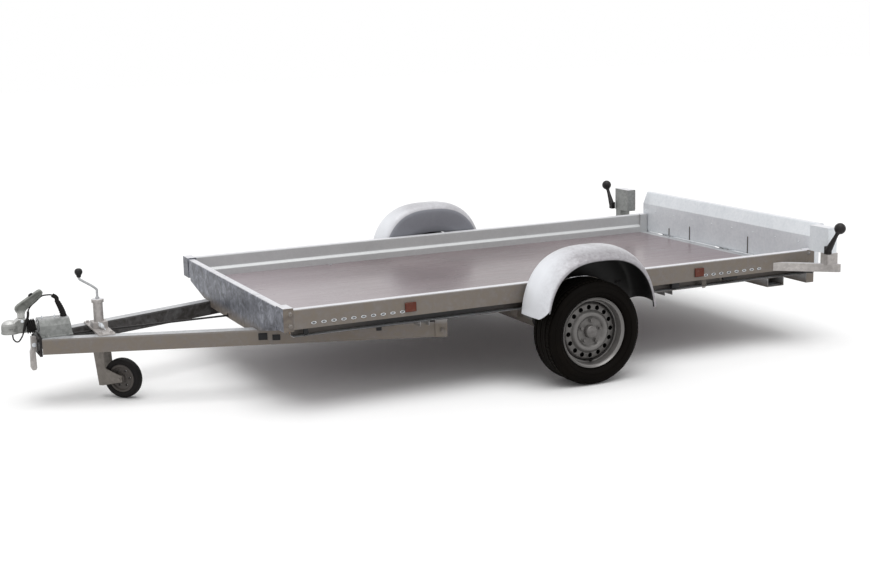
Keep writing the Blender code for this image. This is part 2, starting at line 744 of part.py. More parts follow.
def make_head(root):
    """Ball coupling: a neck that ends in a domed head, with the ball's socket open below."""
    low = DRAW_AXIS_Z - HEAD_SKIRT
    neck = [
        (HEAD_REAR, low), (HEAD_REAR, NECK_TOP), (HEAD_BALL_X - 0.038, NECK_TOP),
        (HEAD_BALL_X - 0.010, DRAW_AXIS_Z + HEAD_SKIRT), (HEAD_BALL_X, low),
    ]
    head = prism(neck, "Y", -HEAD_NECK_HALF, HEAD_NECK_HALF)
    head = solid("coupling_head", head, "cast_steel", root, smooth=35)
    # Share of the head's radius, height from the draw axis
    dome = ((1.0, -HEAD_SKIRT), (1.0, 0.010), (0.94, 0.022), (0.76, 0.032), (0.45, 0.039), (0.12, 0.041))
    rings = [head_ring(HEAD_RADIUS * share, z, 24, HEAD_NARROW) for share, z in dome]
    helper(head, "UNION", loft(rings))
    # Share of the socket's radius, height from the draw axis
    hollow = ((1.0, -HEAD_SKIRT - 0.010), (1.0, 0.004), (0.86, 0.014), (0.5, 0.023), (0.1, 0.026))
    helper(head, "DIFFERENCE", loft([head_ring(SOCKET_RADIUS * share, z, 20) for share, z in hollow]))


def make_handle(root):
    """Lever that unlocks the coupling, seated on the neck."""
    # Distance behind the ball's centre, height above the neck
    outline = (
        (0.070, GAP), (0.070, 0.018), (0.080, 0.041), (0.158, 0.103), (0.162, 0.119), (0.144, 0.129),
        (0.038, 0.063), (0.027, 0.050), (0.028, 0.034), (0.038, 0.022), (0.038, GAP),
    )
    outline = [(HEAD_BALL_X - back, NECK_TOP + up) for back, up in outline]
    handle = prism(outline, "Y", -HANDLE_WIDTH / 2, HANDLE_WIDTH / 2)
    handle = solid("coupling_handle", handle, "cast_steel", root, smooth=40)
    edges = handle.modifiers.new("edges", "BEVEL")
    edges.width = HANDLE_EDGE
    edges.segments = 2
    edges.limit_method = "ANGLE"


def make_cable(root):
    """Boot on the housing, and the cable from it under the handle, down the neck and into a loop."""
    x = HOUSING_REAR + BOOT_FROM_REAR
    low = HOUSING_TOP + GAP
    rings = []
    for share, lean, radius in BOOT_RINGS:
        z = low + share * BOOT_HEIGHT
        rings.append([(x + lean + a, b, z) for a, b in circle(radius, 14)])
    solid("cable_boot", loft(rings), "rubber", root, smooth=50)
    x += BOOT_RINGS[-1][1]
    low += BOOT_HEIGHT + GAP
    side = (HEAD_NECK_HALF + HEAD_NARROW * HEAD_RADIUS) / 2
    skirt = DRAW_AXIS_Z - HEAD_SKIRT - GAP
    ball = HEAD_BALL_X
    route = [
        (x, 0, low), (x + 0.002, 0, low + 0.014), (x + 0.020, 0, low + 0.029),
        (ball - 0.180, 0, NECK_TOP + 0.099), (ball - 0.159, 0, NECK_TOP + 0.0965),
        (ball - 0.130, 0, NECK_TOP + 0.0745),
        (ball - 0.098, 0.003, NECK_TOP + 0.048), (ball - 0.086, 0.016, NECK_TOP + 0.030),
        (ball - 0.081, side - 0.002, NECK_TOP + 0.008), (ball - 0.069, side, NECK_TOP - 0.023),
        (ball - 0.058, side, skirt + 0.012), (ball - 0.042, side, skirt - 0.022),
        (ball - 0.025, side, skirt - 0.037), (ball - 0.009, side, skirt - 0.026),
        (ball - 0.0045, side, skirt - 0.011), (ball - 0.0045, side, skirt),
    ]
    rod("breakaway_cable", smooth_route(route, 2), CABLE_RADIUS, "rubber", root)


def make_brake_rod(root):
    """Rod from the brake lever to the equaliser in front of the axle."""
    rear = AXLE_TUBE_X + AXLE_TUBE_RADIUS + GAP
    front = HOUSING_REAR + BRAKE_LEVER_FROM_REAR - GAP
    r = BRAKE_ROD_RADIUS
    mesh = drum(((r, rear + EQUALISER_THICK / 2), (r, front)), 10, "X")
    brake = solid("brake_rod", mesh, "galvanised", root, (0, BRAKE_ROD_Y, BRAKE_ROD_Z), 0, 50)
    w, h = EQUALISER_HALF_WIDTH, EQUALISER_HALF_HEIGHT
    helper(brake, "UNION", box((rear, -w, -h), (rear + EQUALISER_THICK, w, h)))


def make_axle(root):
    """Torsion axle on its pads, with trailing arms that end in backplates and spindles."""
    half = BED_HALF_WIDTH - AXLE_TUBE_INSET
    tube = drum(((AXLE_TUBE_RADIUS, -half), (AXLE_TUBE_RADIUS, half)), 6)
    axle = solid("axle_tube", tube, "galvanised", root, (AXLE_TUBE_X, 0, AXLE_TUBE_Z))
    length = AXLE_PAD_LENGTH / 2
    for side, sign in SIDES:
        near = sign * (BED_HALF_WIDTH - AXLE_PAD_INSET - AXLE_PAD_WIDTH / 2)
        pad = box((-length, near, 0), (length, near + sign * AXLE_PAD_WIDTH, CROSS_TOP - AXLE_TUBE_Z))
        helper(axle, "UNION", pad)
    up = BRAKE_ROD_Z - AXLE_TUBE_Z
    w, h = EQUALISER_HALF_WIDTH / 3, EQUALISER_HALF_HEIGHT
    lug = box((0, BRAKE_ROD_Y - w, up - h), (AXLE_TUBE_RADIUS, BRAKE_ROD_Y + w, up + h))
    helper(axle, "UNION", lug)
    near = half + GAP
    far = near + ARM_THICK
    pivot = (AXLE_TUBE_X, AXLE_TUBE_Z)
    lean = math.degrees(math.atan2(AXLE_TUBE_Z - AXLE_Z, AXLE_TUBE_X))
    outline = arc(pivot, AXLE_TUBE_RADIUS, lean - 85, lean + 85, 8)
    outline += arc((0, AXLE_Z), ARM_END_RADIUS, lean + 95, lean + 265, 8)
    plate = TYRE_CENTRE_Y - DRUM_INSET - 3 * GAP
    r = BACKPLATE_RADIUS
    for side, sign in SIDES:
        mesh = prism(outline, "Y", sign * near, sign * far)
        arm = solid("trailing_arm_" + side, mesh, "cast_steel", root, smooth=35)
        end = sign * (TYRE_CENTRE_Y + SPINDLE_PAST_CENTRE)
        spindle = drum(((SPINDLE_RADIUS, sign * (far - ARM_THICK / 2)), (SPINDLE_RADIUS, end)), 20)
        helper(arm, "UNION", spindle, (0, 0, AXLE_Z))
        shield = drum(((r, sign * (plate - BACKPLATE_THICK)), (r, sign * plate)), 20)
        helper(arm, "UNION", shield, (0, 0, AXLE_Z))


def make_wheels(left, right):
    """Hub with its drum, rim with a ring of round holes, and tyre, on each wheel's own empty."""
    seat = RIM_SEAT
    half = RIM_WIDTH / 2
    g = RIM_GAUGE
    disc = RIM_DISC
    well = seat - 0.014
    # Radius, distance outwards from the wheel's middle: round the outside, then back along the inside
    rim_profile = [
        (RIM_BORE, disc), (0.068, disc), (0.080, disc + 0.012), (0.098, disc + 0.011),
        (0.108, disc - 0.003), (0.134, disc - 0.005), (0.146, disc - 0.020), (0.160, half - 0.025),
        (0.164, half - 0.010), (RIM_RADIUS - 0.003, half), (RIM_RADIUS, half - 0.006), (seat, half - 0.014),
        (well, 0.030), (well, -0.022), (seat, -0.038), (seat, 0.014 - half), (RIM_RADIUS, 0.006 - half),
        (RIM_RADIUS - 0.003, -half), (seat - g, 0.010 - half), (seat - g, -0.034), (well - g, -0.024),
        (well - g, 0.004), (0.132, disc - 0.011), (0.108, disc - 0.009), (0.096, disc + 0.005),
        (0.083, disc + 0.006), (0.069, disc - g), (RIM_BORE, disc - g),
    ]
    wide = TYRE_WIDTH / 2
    crown = TYRE_RADIUS
    bead = RIM_RADIUS + 0.004
    # One half of the tyre, from its bead over the side wall to the tread, and the inside back to the bead
    outside = [
        (seat + GAP, half - 0.0155), (bead, half - 0.0065), (0.200, wide - 0.004), (0.214, wide),
        (0.232, wide - 0.003), (crown - 0.010, wide - 0.014), (crown - 0.002, wide - 0.026),
        (crown, wide - 0.045),
    ]
    inside = [(crown - 0.014, wide - 0.050), (0.215, wide - 0.012), (seat + GAP, half - 0.030)]
    tyre_profile = outside + [(radius, -along) for radius, along in reversed(outside)]
    tyre_profile += [(radius, -along) for radius, along in reversed(inside)] + inside
    bore = SPINDLE_RADIUS + RUNNING
    drum_end = DRUM_WIDTH - DRUM_INSET
    disc_seat = disc - g - GAP
    cap = HUB_CAP_RADIUS
    hub_profile = [
        (bore, -DRUM_INSET), (DRUM_RADIUS, -DRUM_INSET), (DRUM_RADIUS, drum_end),
        (HUB_FACE_RADIUS, drum_end + 0.012),
        (HUB_FACE_RADIUS, disc_seat), (cap, disc_seat), (cap, disc + 0.014), (cap - 0.006, disc + 0.020),
        (0.012, disc + 0.021), (0.012, disc + 0.004), (bore, disc + 0.002),
    ]
    for (side, sign), wheel in zip(SIDES, (left, right)):
        turn = 0 if sign > 0 else 180
        at = (0, 0, 0)
        solid("wheel_hub_" + side, turned(hub_profile), "cast_steel", wheel, at, turn, 35)
        rim = solid("rim_" + side, turned(rim_profile, WHEEL_STEPS), "rim_paint", wheel, at, turn, 35)
        holes = []
        for centre in circle(RIM_HOLE_CIRCLE, RIM_HOLES):
            holes.append(prism(arc(centre, RIM_HOLE_RADIUS, 0, 315, 7), "Y", disc - 0.030, disc + 0.010))
        helper(rim, "DIFFERENCE", merged(*holes))
        solid("tyre_" + side, turned(tyre_profile, WHEEL_STEPS), "rubber", wheel, at, turn, 40)


def squared_arc(start, end, steps):
    """Points on the guards' slim, squared-off arch, one high, in degrees."""
    power = GUARD_SQUARENESS
    found = []
    for x, z in arc((0, 0), 1.0, start, end, steps):
        size = (abs(x / GUARD_SLIMNESS) ** power + abs(z) ** power) ** (1 / power)
        found.append((x / size, z / size))
    return found


def make_mudguards(root):
    """Sheet guards with an inner wall, a rounded crown and a rolled outer lip, on brackets from the rail."""
    w = GUARD_WIDTH
    crown = GUARD_CROWN_RADIUS
    lip = GUARD_LIP_RADIUS
    # Distance out from the inner wall, height above the arch's middle
    path = [
        (0.0, GUARD_INNER_RADIUS), (0.0, crown - 0.050), (0.004, crown - 0.036), (0.013, crown - 0.021),
        (0.029, crown - 0.009), (0.055, crown - 0.001), (0.080, crown + 0.001), (0.110, crown - 0.001),
        (0.150, crown - 0.008), (0.190, crown - 0.022), (0.216, crown - 0.037), (w - 0.004, lip + 0.004),
        (w, lip - 0.006), (w - 0.005, lip - 0.013), (w - 0.012, lip - 0.008),
    ]
    section = rolled(path, GUARD_GAUGE)
    wall = BED_HALF_WIDTH + GUARD_FROM_RAIL
    start, end = GUARD_ANGLES
    low = AXLE_Z + GUARD_RISE
    back = GUARD_BEHIND_AXLE
    middle = (RAIL_LOW + RAIL_TOP) / 2
    for side, sign in SIDES:
        loops = []
        for x, z in squared_arc(start, end, GUARD_STEPS):
            loops.append([(r * x - back, sign * (wall + across), low + r * z) for across, r in section])
        guard = solid("mudguard_" + side, loft(loops), "guard", root, smooth=35)
        for x in (-back - GUARD_BRACKET_X, -back + GUARD_BRACKET_X):
            near = sign * (BED_HALF_WIDTH + GAP)
            far = sign * (wall + GUARD_GAUGE / 2)
            length, height = GUARD_BRACKET_LENGTH / 2, GUARD_BRACKET_HEIGHT / 2
            bracket = box((x - length, near, middle - height), (x + length, far, middle + height))
            helper(guard, "UNION", bracket)


def make_tailgate(gate):
    """Rolled gate with a leaning lip, end posts, ribs and hinge knuckles, about the hinge's axis."""
    face = GATE_FACE - HINGE_X
    back = GATE_BACK - HINGE_X
    low = GATE_LOW - HINGE_Z
    bend = low + GATE_BEND_HEIGHT - GATE_ABOVE_FLOOR
    top = low + GATE_HEIGHT - GATE_ABOVE_FLOOR
    lean = GATE_LEAN
    path = [
        (back, low), (face, low), (face, bend), (face - lean, top), (back - lean, top),
        (back - lean, top - GATE_HEM),
    ]
    sheet = rolled(rounded(path, GATE_ROUNDING), -GATE_WALL)
    panel = prism(sheet, "Y", -GATE_HALF_WIDTH, GATE_HALF_WIDTH)
    panel = solid("tailgate", panel, "galvanised", gate, smooth=30)
    g = GATE_WALL
    web = [
        (back, low), (face - g / 2, low), (face - g / 2, bend), (face - lean - g / 2, top - g / 2),
        (back - lean, top - g / 2), (back, bend - g),
    ]
    for y in GATE_RIBS:
        helper(panel, "UNION", prism(web, "Y", y - g / 2, y + g / 2))
    for side, sign in SIDES:
        post = prism(web, "Y", sign * (GATE_HALF_WIDTH - GATE_END_WIDTH), sign * GATE_HALF_WIDTH)
        helper(panel, "UNION", post)
    half = HINGE_LENGTH / 6 - HINGE_SLACK
    for place in HINGE_PLACES:
        helper(panel, "UNION", drum(((HINGE_RADIUS, -half), (HINGE_RADIUS, half)), 12), (0, place, 0))
        leaf = box((-HINGE_RADIUS / 5, place - half, 0), (back + GATE_WALL / 2, place + half, HINGE_LEAF))
        helper(panel, "UNION", leaf)


def make_rear_lamps(root):
    """Diagonal outriggers that carry the open lamp boxes, with a lamp in each."""
    rear = LAMP_X - LAMP_BOX_DEPTH / 2
    front = LAMP_X + LAMP_BOX_DEPTH / 2
    top = LAMP_LOW + LAMP_HEIGHT
    w = LAMP_BOX_WALL
    t = OUTRIGGER_HALF_THICK
    start = BED_HALF_WIDTH + GAP
    end = LAMP_OUTER + OUTRIGGER_PAST_LAMP
    tip = LAMP_X - 1.5 * t
    beam_top = FLOOR_TOP + OUTRIGGER_ABOVE_FLOOR
    root_x = REAR_TUBE_X + t / 3
    for side, sign in SIDES:
        outline = [
            (root_x + t, sign * start), (tip + 0.4 * t, sign * end), (tip, sign * end),
            (tip, sign * (end - t)),
            (root_x - t, sign * start),
        ]
        beam = prism(outline, "Z", beam_top - OUTRIGGER_HEIGHT, beam_top)
        beam = solid("outrigger_" + side, beam, "galvanised", root)
        edge = sign * (LAMP_OUTER - w)
        post = box(
            (tip + w, edge - sign * LAMP_POST_WIDTH, beam_top - w), (front - w, edge, LAMP_LOW - GAP)
        )
        helper(beam, "UNION", post)
        inner, outer = sign * LAMP_INNER, sign * LAMP_OUTER
        case = box((rear, inner, LAMP_LOW), (front, outer, top))
        case = solid("lamp_box_" + side, case, "galvanised", root)
        hollow = box((rear - w, inner + sign * w, LAMP_LOW + w), (front - w, outer - sign * w, top - w))
        helper(case, "DIFFERENCE", hollow)
        inset = w + GAP
        lens = box(
            (rear - LENS_PROUD, inner + sign * inset, LAMP_LOW + inset),
            (rear + LENS_DEPTH, outer - sign * inset, top - inset),
        )
        solid("tail_lamp_" + side, lens, "red_lens", root)


def make_latch_levers(root):
    """Block, stem and ball of the tailgate's latch, on the outside of each lamp box."""
    length, depth, height = LEVER_BLOCK
    x = LAMP_X + LEVER_FORWARD
    z = LAMP_LOW + LEVER_ABOVE_BOX
    r = LEVER_BALL_RADIUS
    ball_profile = []
    for a, b in arc((0, 0), r, -80, 80, 8):
        ball_profile.append((a, b))
    for side, sign in SIDES:
        y = sign * (LAMP_OUTER + LEVER_STANDOFF)
        near = sign * (LAMP_OUTER + GAP)
        block = box((x - length, near, z - height), (x + length, y + sign * depth, z + height))
        lever = solid("latch_lever_" + side, block, "black_steel", root, smooth=35)
        way = Vector((LEVER_WAY[0], sign * LEVER_WAY[1], LEVER_WAY[2]))
        stem = drum(((1.4 * LEVER_RADIUS, 0), (LEVER_RADIUS, way.length)), 10)
        tool = helper(lever, "UNION", stem, (x, y, z))
        tool.rotation_mode = "QUATERNION"
        tool.rotation_quaternion = Vector((0, 1, 0)).rotation_difference(way)
        helper(lever, "UNION", drum(ball_profile, 12, "Z"), Vector((x, y, z)) + way)


def make_reflectors(root):
    low = RAIL_LOW + REFLECTOR_ABOVE_RAIL
    half = REFLECTOR_LENGTH / 2
    for side, sign in SIDES:
        near = sign * (BED_HALF_WIDTH + GAP)
        far = near + sign * REFLECTOR_THICK
        for place, x in zip(("front", "rear"), REFLECTOR_PLACES):
            lens = box((x - half, near, low), (x + half, far, low + REFLECTOR_HEIGHT))
            solid("side_reflector_" + side + "_" + place, lens, "amber", root)


def make_jockey_tube(root):
    """Outer tube with its collar and lid, the clamp on the drawbar, and the crank with its knob."""
    bore = JOCKEY_INNER_RADIUS + RUNNING
    r = JOCKEY_TUBE_RADIUS
    top = JOCKEY_TUBE_TOP
    collar = JOCKEY_COLLAR_RADIUS
    low_collar = top - JOCKEY_COLLAR_HEIGHT
    lid = CRANK_RADIUS + CRANK_FIT
    at = (JOCKEY_X, 0, 0)
    profile = [
        (bore, JOCKEY_TUBE_LOW), (r, JOCKEY_TUBE_LOW), (r, low_collar), (collar, low_collar), (collar, top),
        (lid, top), (lid, top - JOCKEY_LID), (bore, top - JOCKEY_LID),
    ]
    solid("jockey_tube", turned(profile, 20, "Z"), "galvanised", root, at, 0, 35)
    inner = bar_half(JOCKEY_X) - BAR_WIDTH / math.cos(math.atan(BAR_SPREAD)) + CLAMP_HALF_LENGTH
    half = CLAMP_HALF_LENGTH
    plate = box((-half, -inner, BAR_TOP + GAP), (half, inner, BAR_TOP + CLAMP_PLATE))
    clamp = solid("jockey_clamp", plate, "galvanised", root, at)
    half = r + CLAMP_WALL
    block = box((-half, -half, BAR_TOP + CLAMP_PLATE / 2), (half, half, BAR_TOP + CLAMP_HEIGHT))
    helper(clamp, "UNION", block)
    hole = r + 2 * GAP
    bore_cut = drum(((hole, BAR_TOP - CLAMP_PLATE), (hole, BAR_TOP + CLAMP_HEIGHT + CLAMP_PLATE)), 20, "Z")
    helper(clamp, "DIFFERENCE", bore_cut)
    # Distance forwards from the tube, height above its top
    bends = (
        (0.0, -JOCKEY_LID - CRANK_SEAT), (0.0, 0.0), (0.0, 0.050), (0.010, 0.062), (0.072, 0.092),
        (0.081, 0.101), (0.082, 0.114),
    )
    route = smooth_route([(JOCKEY_X + x, 0, top + up) for x, up in bends], 3)
    rod("jockey_crank", route, CRANK_RADIUS, "galvanised", root)
    # Share of the knob's radius, height above the crank's end
    knob = (
        (0.46, 0.0), (0.56, 0.004), (0.62, 0.011), (0.92, 0.018), (1.0, 0.027), (0.92, 0.036), (0.62, 0.042),
        (0.2, 0.0445),
    )
    mesh = drum([(KNOB_RADIUS * share, up) for share, up in knob], 14, "Z")
    end = bends[-1]
    solid("jockey_knob", mesh, "black_plastic", root, (JOCKEY_X + end[0], 0, top + end[1] + GAP), 0, 50)


def make_jockey_wheel(fork_axis, wheel_axis):
    """Fork with its inner tube and pin, on the swivel's empty, and the wheel on the pin's empty."""
    g = FORK_GAUGE
    half = JOCKEY_WIDTH / 2 + FORK_SIDE_GAP
    r = JOCKEY_INNER_RADIUS
    rear, front = -0.026, 0.034
    inner_tube = drum(((r, FORK_TOP - g / 2), (r, JOCKEY_TUBE_TOP - JOCKEY_INNER_INSET)), 20, "Z")
    fork = solid("jockey_fork", inner_tube, "galvanised", fork_axis, smooth=40)
    helper(fork, "UNION", box((rear, -half - g, FORK_TOP - g), (front, half + g, FORK_TOP)))
    tip = JOCKEY_TRAIL + 0.014
    outline = [
        (rear, FORK_TOP - g / 2), (front, FORK_TOP - g / 2), (0.040, 1.5 * JOCKEY_RADIUS),
        (tip, JOCKEY_RADIUS + 0.014), (tip, JOCKEY_RADIUS - 0.014), (0.020, 0.062), (0.0, 0.062),
    ]
    for side, sign in SIDES:
        helper(fork, "UNION", prism(outline, "Y", sign * half, sign * (half + g)))
    pin = drum(((JOCKEY_PIN_RADIUS, -half - g / 2), (JOCKEY_PIN_RADIUS, half + g / 2)), 14)
    helper(fork, "UNION", pin, (JOCKEY_TRAIL, 0, JOCKEY_RADIUS))
    wide = JOCKEY_WIDTH / 2
    bore = JOCKEY_PIN_RADIUS + RUNNING
    rim = JOCKEY_RIM_RADIUS
    # Radius, distance from the middle, over one half
    half_rim = [
        (bore, wide + 0.004), (0.022, wide + 0.004), (0.022, 0.012), (0.056, 0.010),
        (rim - 0.008, wide - 0.004), (rim, wide - 0.006),
    ]
    profile = [(radius, -along) for radius, along in half_rim] + half_rim[::-1]
    solid("jockey_rim", turned(profile), "black_plastic", wheel_axis, smooth=35)
    half_tyre = [
        (rim + GAP, wide - 0.006), (rim + 0.012, wide), (JOCKEY_RADIUS - 0.006, wide - 0.006),
        (JOCKEY_RADIUS, 0.010),
    ]
    profile = [(radius, -along) for radius, along in half_tyre] + half_tyre[::-1]
    solid("jockey_tyre", turned(profile), "rubber", wheel_axis, smooth=40)


def axis_empty(name, parent, at, turn=0.0):
    made = bpy.data.objects.new(name, None)
    bpy.context.scene.collection.objects.link(made)
    made.parent = parent
    made.location = at
    made.rotation_euler = (0, 0, math.radians(turn))
    return made


def main():
    clear_scene()
    root = axis_empty("trailer", None, (-MIDDLE_X, 0, 0))
    left = axis_empty("wheel_axis_left", root, (0, TYRE_CENTRE_Y, AXLE_Z))
    right = axis_empty("wheel_axis_right", root, (0, -TYRE_CENTRE_Y, AXLE_Z))
    gate = axis_empty("tailgate_axis", root, (HINGE_X, 0, HINGE_Z))
    fork = axis_empty("fork_axis", root, (JOCKEY_X, 0, 0), JOCKEY_TURN)
    castor = axis_empty("castor_axis", fork, (JOCKEY_TRAIL, 0, JOCKEY_RADIUS))
    make_side_rails(root)
    make_front_frame(root)
    make_rear_frame(root)
    make_floor(root)
    make_cross_members(root)
    make_drawbar(root)
    make_coupling(root)
    make_axle(root)
    make_wheels(left, right)
    make_mudguards(root)
    make_tailgate(gate)
    make_rear_lamps(root)
    make_latch_levers(root)
    make_reflectors(root)
    make_jockey_tube(root)
    make_jockey_wheel(fork, castor)


main()
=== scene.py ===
import json
import math

import bpy
from mathutils import Matrix, Vector
from mathutils.geometry import interpolate_bezier


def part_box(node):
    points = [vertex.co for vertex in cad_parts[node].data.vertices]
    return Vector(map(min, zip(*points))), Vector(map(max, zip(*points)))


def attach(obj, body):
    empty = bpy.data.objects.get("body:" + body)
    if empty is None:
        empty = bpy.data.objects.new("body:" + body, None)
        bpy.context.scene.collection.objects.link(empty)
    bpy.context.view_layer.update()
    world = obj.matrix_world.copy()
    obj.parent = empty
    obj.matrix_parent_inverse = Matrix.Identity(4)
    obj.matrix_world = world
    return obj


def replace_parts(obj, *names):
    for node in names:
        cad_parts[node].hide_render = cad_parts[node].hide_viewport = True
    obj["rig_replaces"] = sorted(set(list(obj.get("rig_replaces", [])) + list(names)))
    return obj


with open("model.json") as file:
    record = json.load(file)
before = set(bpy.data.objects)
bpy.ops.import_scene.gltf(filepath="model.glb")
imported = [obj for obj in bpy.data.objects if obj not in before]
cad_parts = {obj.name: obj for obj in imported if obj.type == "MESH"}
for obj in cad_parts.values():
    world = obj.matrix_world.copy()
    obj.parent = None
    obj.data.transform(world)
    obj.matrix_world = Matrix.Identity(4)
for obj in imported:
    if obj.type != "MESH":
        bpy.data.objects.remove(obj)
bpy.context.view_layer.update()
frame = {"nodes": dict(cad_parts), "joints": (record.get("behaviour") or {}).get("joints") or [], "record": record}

# Camera, fitted to the photograph
CAMERA_PLACE = (3.0635, 6.826, 1.847)
CAMERA_YAW = 0.4415
CAMERA_PITCH = 0.1931
CAMERA_ROLL = -0.0226
CAMERA_LENS = 58.19

# Places read from the frame
SIDES = (("left", 1), ("right", -1))
JOINTS = {joint["name"]: joint for joint in frame["joints"]}
WHEEL = Vector(JOINTS["wheel_left_spin"]["pos_m"])
JOCKEY = Vector(JOINTS["jockey_swivel"]["pos_m"])
CASTOR = Vector(JOINTS["jockey_wheel_spin"]["pos_m"])
CASTOR_AXIS = Vector(JOINTS["jockey_wheel_spin"]["axis"])
HINGE = Vector(JOINTS["tailgate_hinge"]["pos_m"])
RAIL_LOW, RAIL_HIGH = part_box("side_rail_left")
DECK_LOW, DECK_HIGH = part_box("deck_board")
GATE_LOW, GATE_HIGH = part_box("tailgate")
HOUSING_LOW, HOUSING_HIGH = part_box("overrun_housing")
HEAD_LOW, HEAD_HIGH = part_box("coupling_head")
TUBE_LOW, TUBE_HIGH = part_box("jockey_tube")
BOOT_LOW, BOOT_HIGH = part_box("cable_boot")
BAR_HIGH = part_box("drawbar_left")[1]
NOSE_LOW, NOSE_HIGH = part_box("drawbar_nose_plate")
STAY_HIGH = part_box("nose_stay")[1]
LAMP_BOX_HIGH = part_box("lamp_box_left")[1]

# Ways along the axes
AHEAD = Vector((1, 0, 0))
LEFTWARD = Vector((0, 1, 0))
UP = Vector((0, 0, 1))

# Gap between a piece and what it sits on, and the angle of an edge that is rounded
GAP = 0.0003
SHARP_EDGE = math.radians(40.0)

# Road wheels
TYRE_STEPS = 72
RIM_STEPS = 96
RIM_HOLES = 16
RIM_HOLE_CIRCLE = 0.122
RIM_HOLE_RADIUS = 0.0122
WHEEL_BOLTS = 5
WHEEL_BOLT_CIRCLE = 0.056
TREAD_DEPTH = 0.005
TREAD_GAP = 0.002
RING_PITCH = 0.0032

# Mudguards
GUARD_START = 16.0
GUARD_END = 162.0
GUARD_STEPS = 64
GUARD_GAUGE = 0.003
GUARD_SLIMNESS = 0.846
GUARD_SQUARENESS = 2.635
GUARD_CORNER = 0.085
GUARD_BRACKETS = (-0.235, 0.235)
GUARD_BRACKET_HEIGHT = 0.4615

# Nose, coupling and levers
HOUSING_BASE = BAR_HIGH.z + GAP
BALL = Vector((HEAD_HIGH.x - 0.044, 0, HEAD_LOW.z + 0.026))
NECK_TOP = HEAD_HIGH.z
CABLE_RADIUS = 0.0035
BAR_NOSE_HALF = 0.094
BAR_SPREAD = 0.352
LEVER_FOOT = Vector((WHEEL.x - 1.446, 1.060, 0.543))
LEVER_WAY = Vector((-0.007, 0.086, 0.135))

# Bed: rows of lashing slots, as the first one's place ahead of the wheel's axis and the count
SLOT_ROWS = ((1.392, 10), (-0.816, 8))
SLOT_PITCH = 0.050
HINGE_PLACES = (-0.60, 0.0, 0.60)

# Light and floor
SUN_WAY = (0.08, 0.20, 1.0)
SUN_STRENGTH = 1.6
SUN_WIDTH = 0.90
SKY_LIGHT = 0.62
SKY_SEEN = 1.0
FLOOR_SIZE = 60.0
FLOOR_DROP = 0.0005
FLOOR_LIGHT = (0.80, 0.80, 0.80)
WHITE = (1.0, 1.0, 1.0)


# Modelling steps shared by all pieces

def choose(piece=None):
    """Leaves edit mode and selects this piece alone, or nothing."""
    if bpy.context.mode != "OBJECT":
        bpy.ops.object.mode_set(mode="OBJECT")
    bpy.ops.object.select_all(action="DESELECT")
    if piece:
        piece.select_set(True)
        bpy.context.view_layer.objects.active = piece


def named(name):
    """The piece that was just added, with its name and with its place in its mesh."""
    piece = bpy.context.object
    piece.name = name
    piece.data.name = name
    bpy.ops.object.transform_apply(location=True, rotation=True, scale=True)
    return piece


def pick(piece, kind, wanted):
    """Goes to edit mode with the wanted faces, edges or points of the piece selected."""
    choose(piece)
    bpy.ops.object.mode_set(mode="EDIT")
    bpy.ops.mesh.select_mode(type=kind)
    bpy.ops.mesh.select_all(action="DESELECT")
    bpy.ops.object.mode_set(mode="OBJECT")
    mesh = piece.data
    if kind == "FACE":
        for face in mesh.polygons:
            face.select = bool(wanted(face.center, face.normal))
    elif kind == "EDGE":
        for edge in mesh.edges:
            a, b = (mesh.vertices[i].co for i in edge.vertices)
            edge.select = bool(wanted((a + b) / 2, (b - a).normalized()))
    else:
        for point in mesh.vertices:
            point.select = bool(wanted(point.co))
    bpy.ops.object.mode_set(mode="EDIT")


def drawn(name, path):
    """A line of edges pulled out from one point through the others, left in edit mode."""
    choose()
    bpy.ops.mesh.primitive_plane_add(size=0.01, location=path[0])
    piece = named(name)
    bpy.ops.object.mode_set(mode="EDIT")
    bpy.ops.mesh.select_mode(type="VERT")
    bpy.ops.mesh.select_all(action="SELECT")
    bpy.ops.mesh.merge(type="CENTER")
    for here, there in zip(path, path[1:]):
        way = Vector(there) - Vector(here)
        bpy.ops.mesh.extrude_region_move(TRANSFORM_OT_translate={"value": way})
    return piece


def closed_up():
    """In edit mode: merges doubles and turns all faces outwards."""
    bpy.ops.mesh.select_all(action="SELECT")
    bpy.ops.mesh.remove_doubles(threshold=0.00001)
    bpy.ops.mesh.normals_make_consistent(inside=False)
    bpy.ops.object.mode_set(mode="OBJECT")


def squashed(piece, scale, centre):
    """Scales the whole piece about a centre."""
    choose(piece)
    bpy.ops.object.mode_set(mode="EDIT")
    bpy.ops.mesh.select_all(action="SELECT")
    bpy.ops.transform.resize(value=scale, center_override=centre)
    bpy.ops.object.mode_set(mode="OBJECT")


def set_in(piece, wanted, *steps):
    """Insets the wanted faces, once for each step of (thickness, depth)."""
    pick(piece, "FACE", wanted)
    for thickness, depth in steps:
        bpy.ops.mesh.inset(thickness=thickness, depth=depth)
    bpy.ops.object.mode_set(mode="OBJECT")


def turned(name, profile, place, axis=UP, steps=32):
    """Piece turned on a lathe from a profile of (radius, distance along the axis)."""
    along = Vector(axis).normalized()
    out = along.orthogonal().normalized()
    place = Vector(place)
    piece = drawn(name, [place + out * radius + along * distance for radius, distance in profile])
    bpy.ops.mesh.select_all(action="SELECT")
    bpy.ops.mesh.spin(steps=steps, angle=2 * math.pi, center=place, axis=along)
    closed_up()
    return piece


def ringed(profile):
    """The profile closed into a ring by its own first point."""
    return list(profile) + [profile[0]]


def both_ways(profile):
    """The profile, and back along its mirror image."""
    return list(profile) + [(radius, -along) for radius, along in reversed(profile)]


def framed(left, right, bottom, top):
    """Corners of a rectangle, in order round it."""
    return (left, bottom), (right, bottom), (right, top), (left, top)


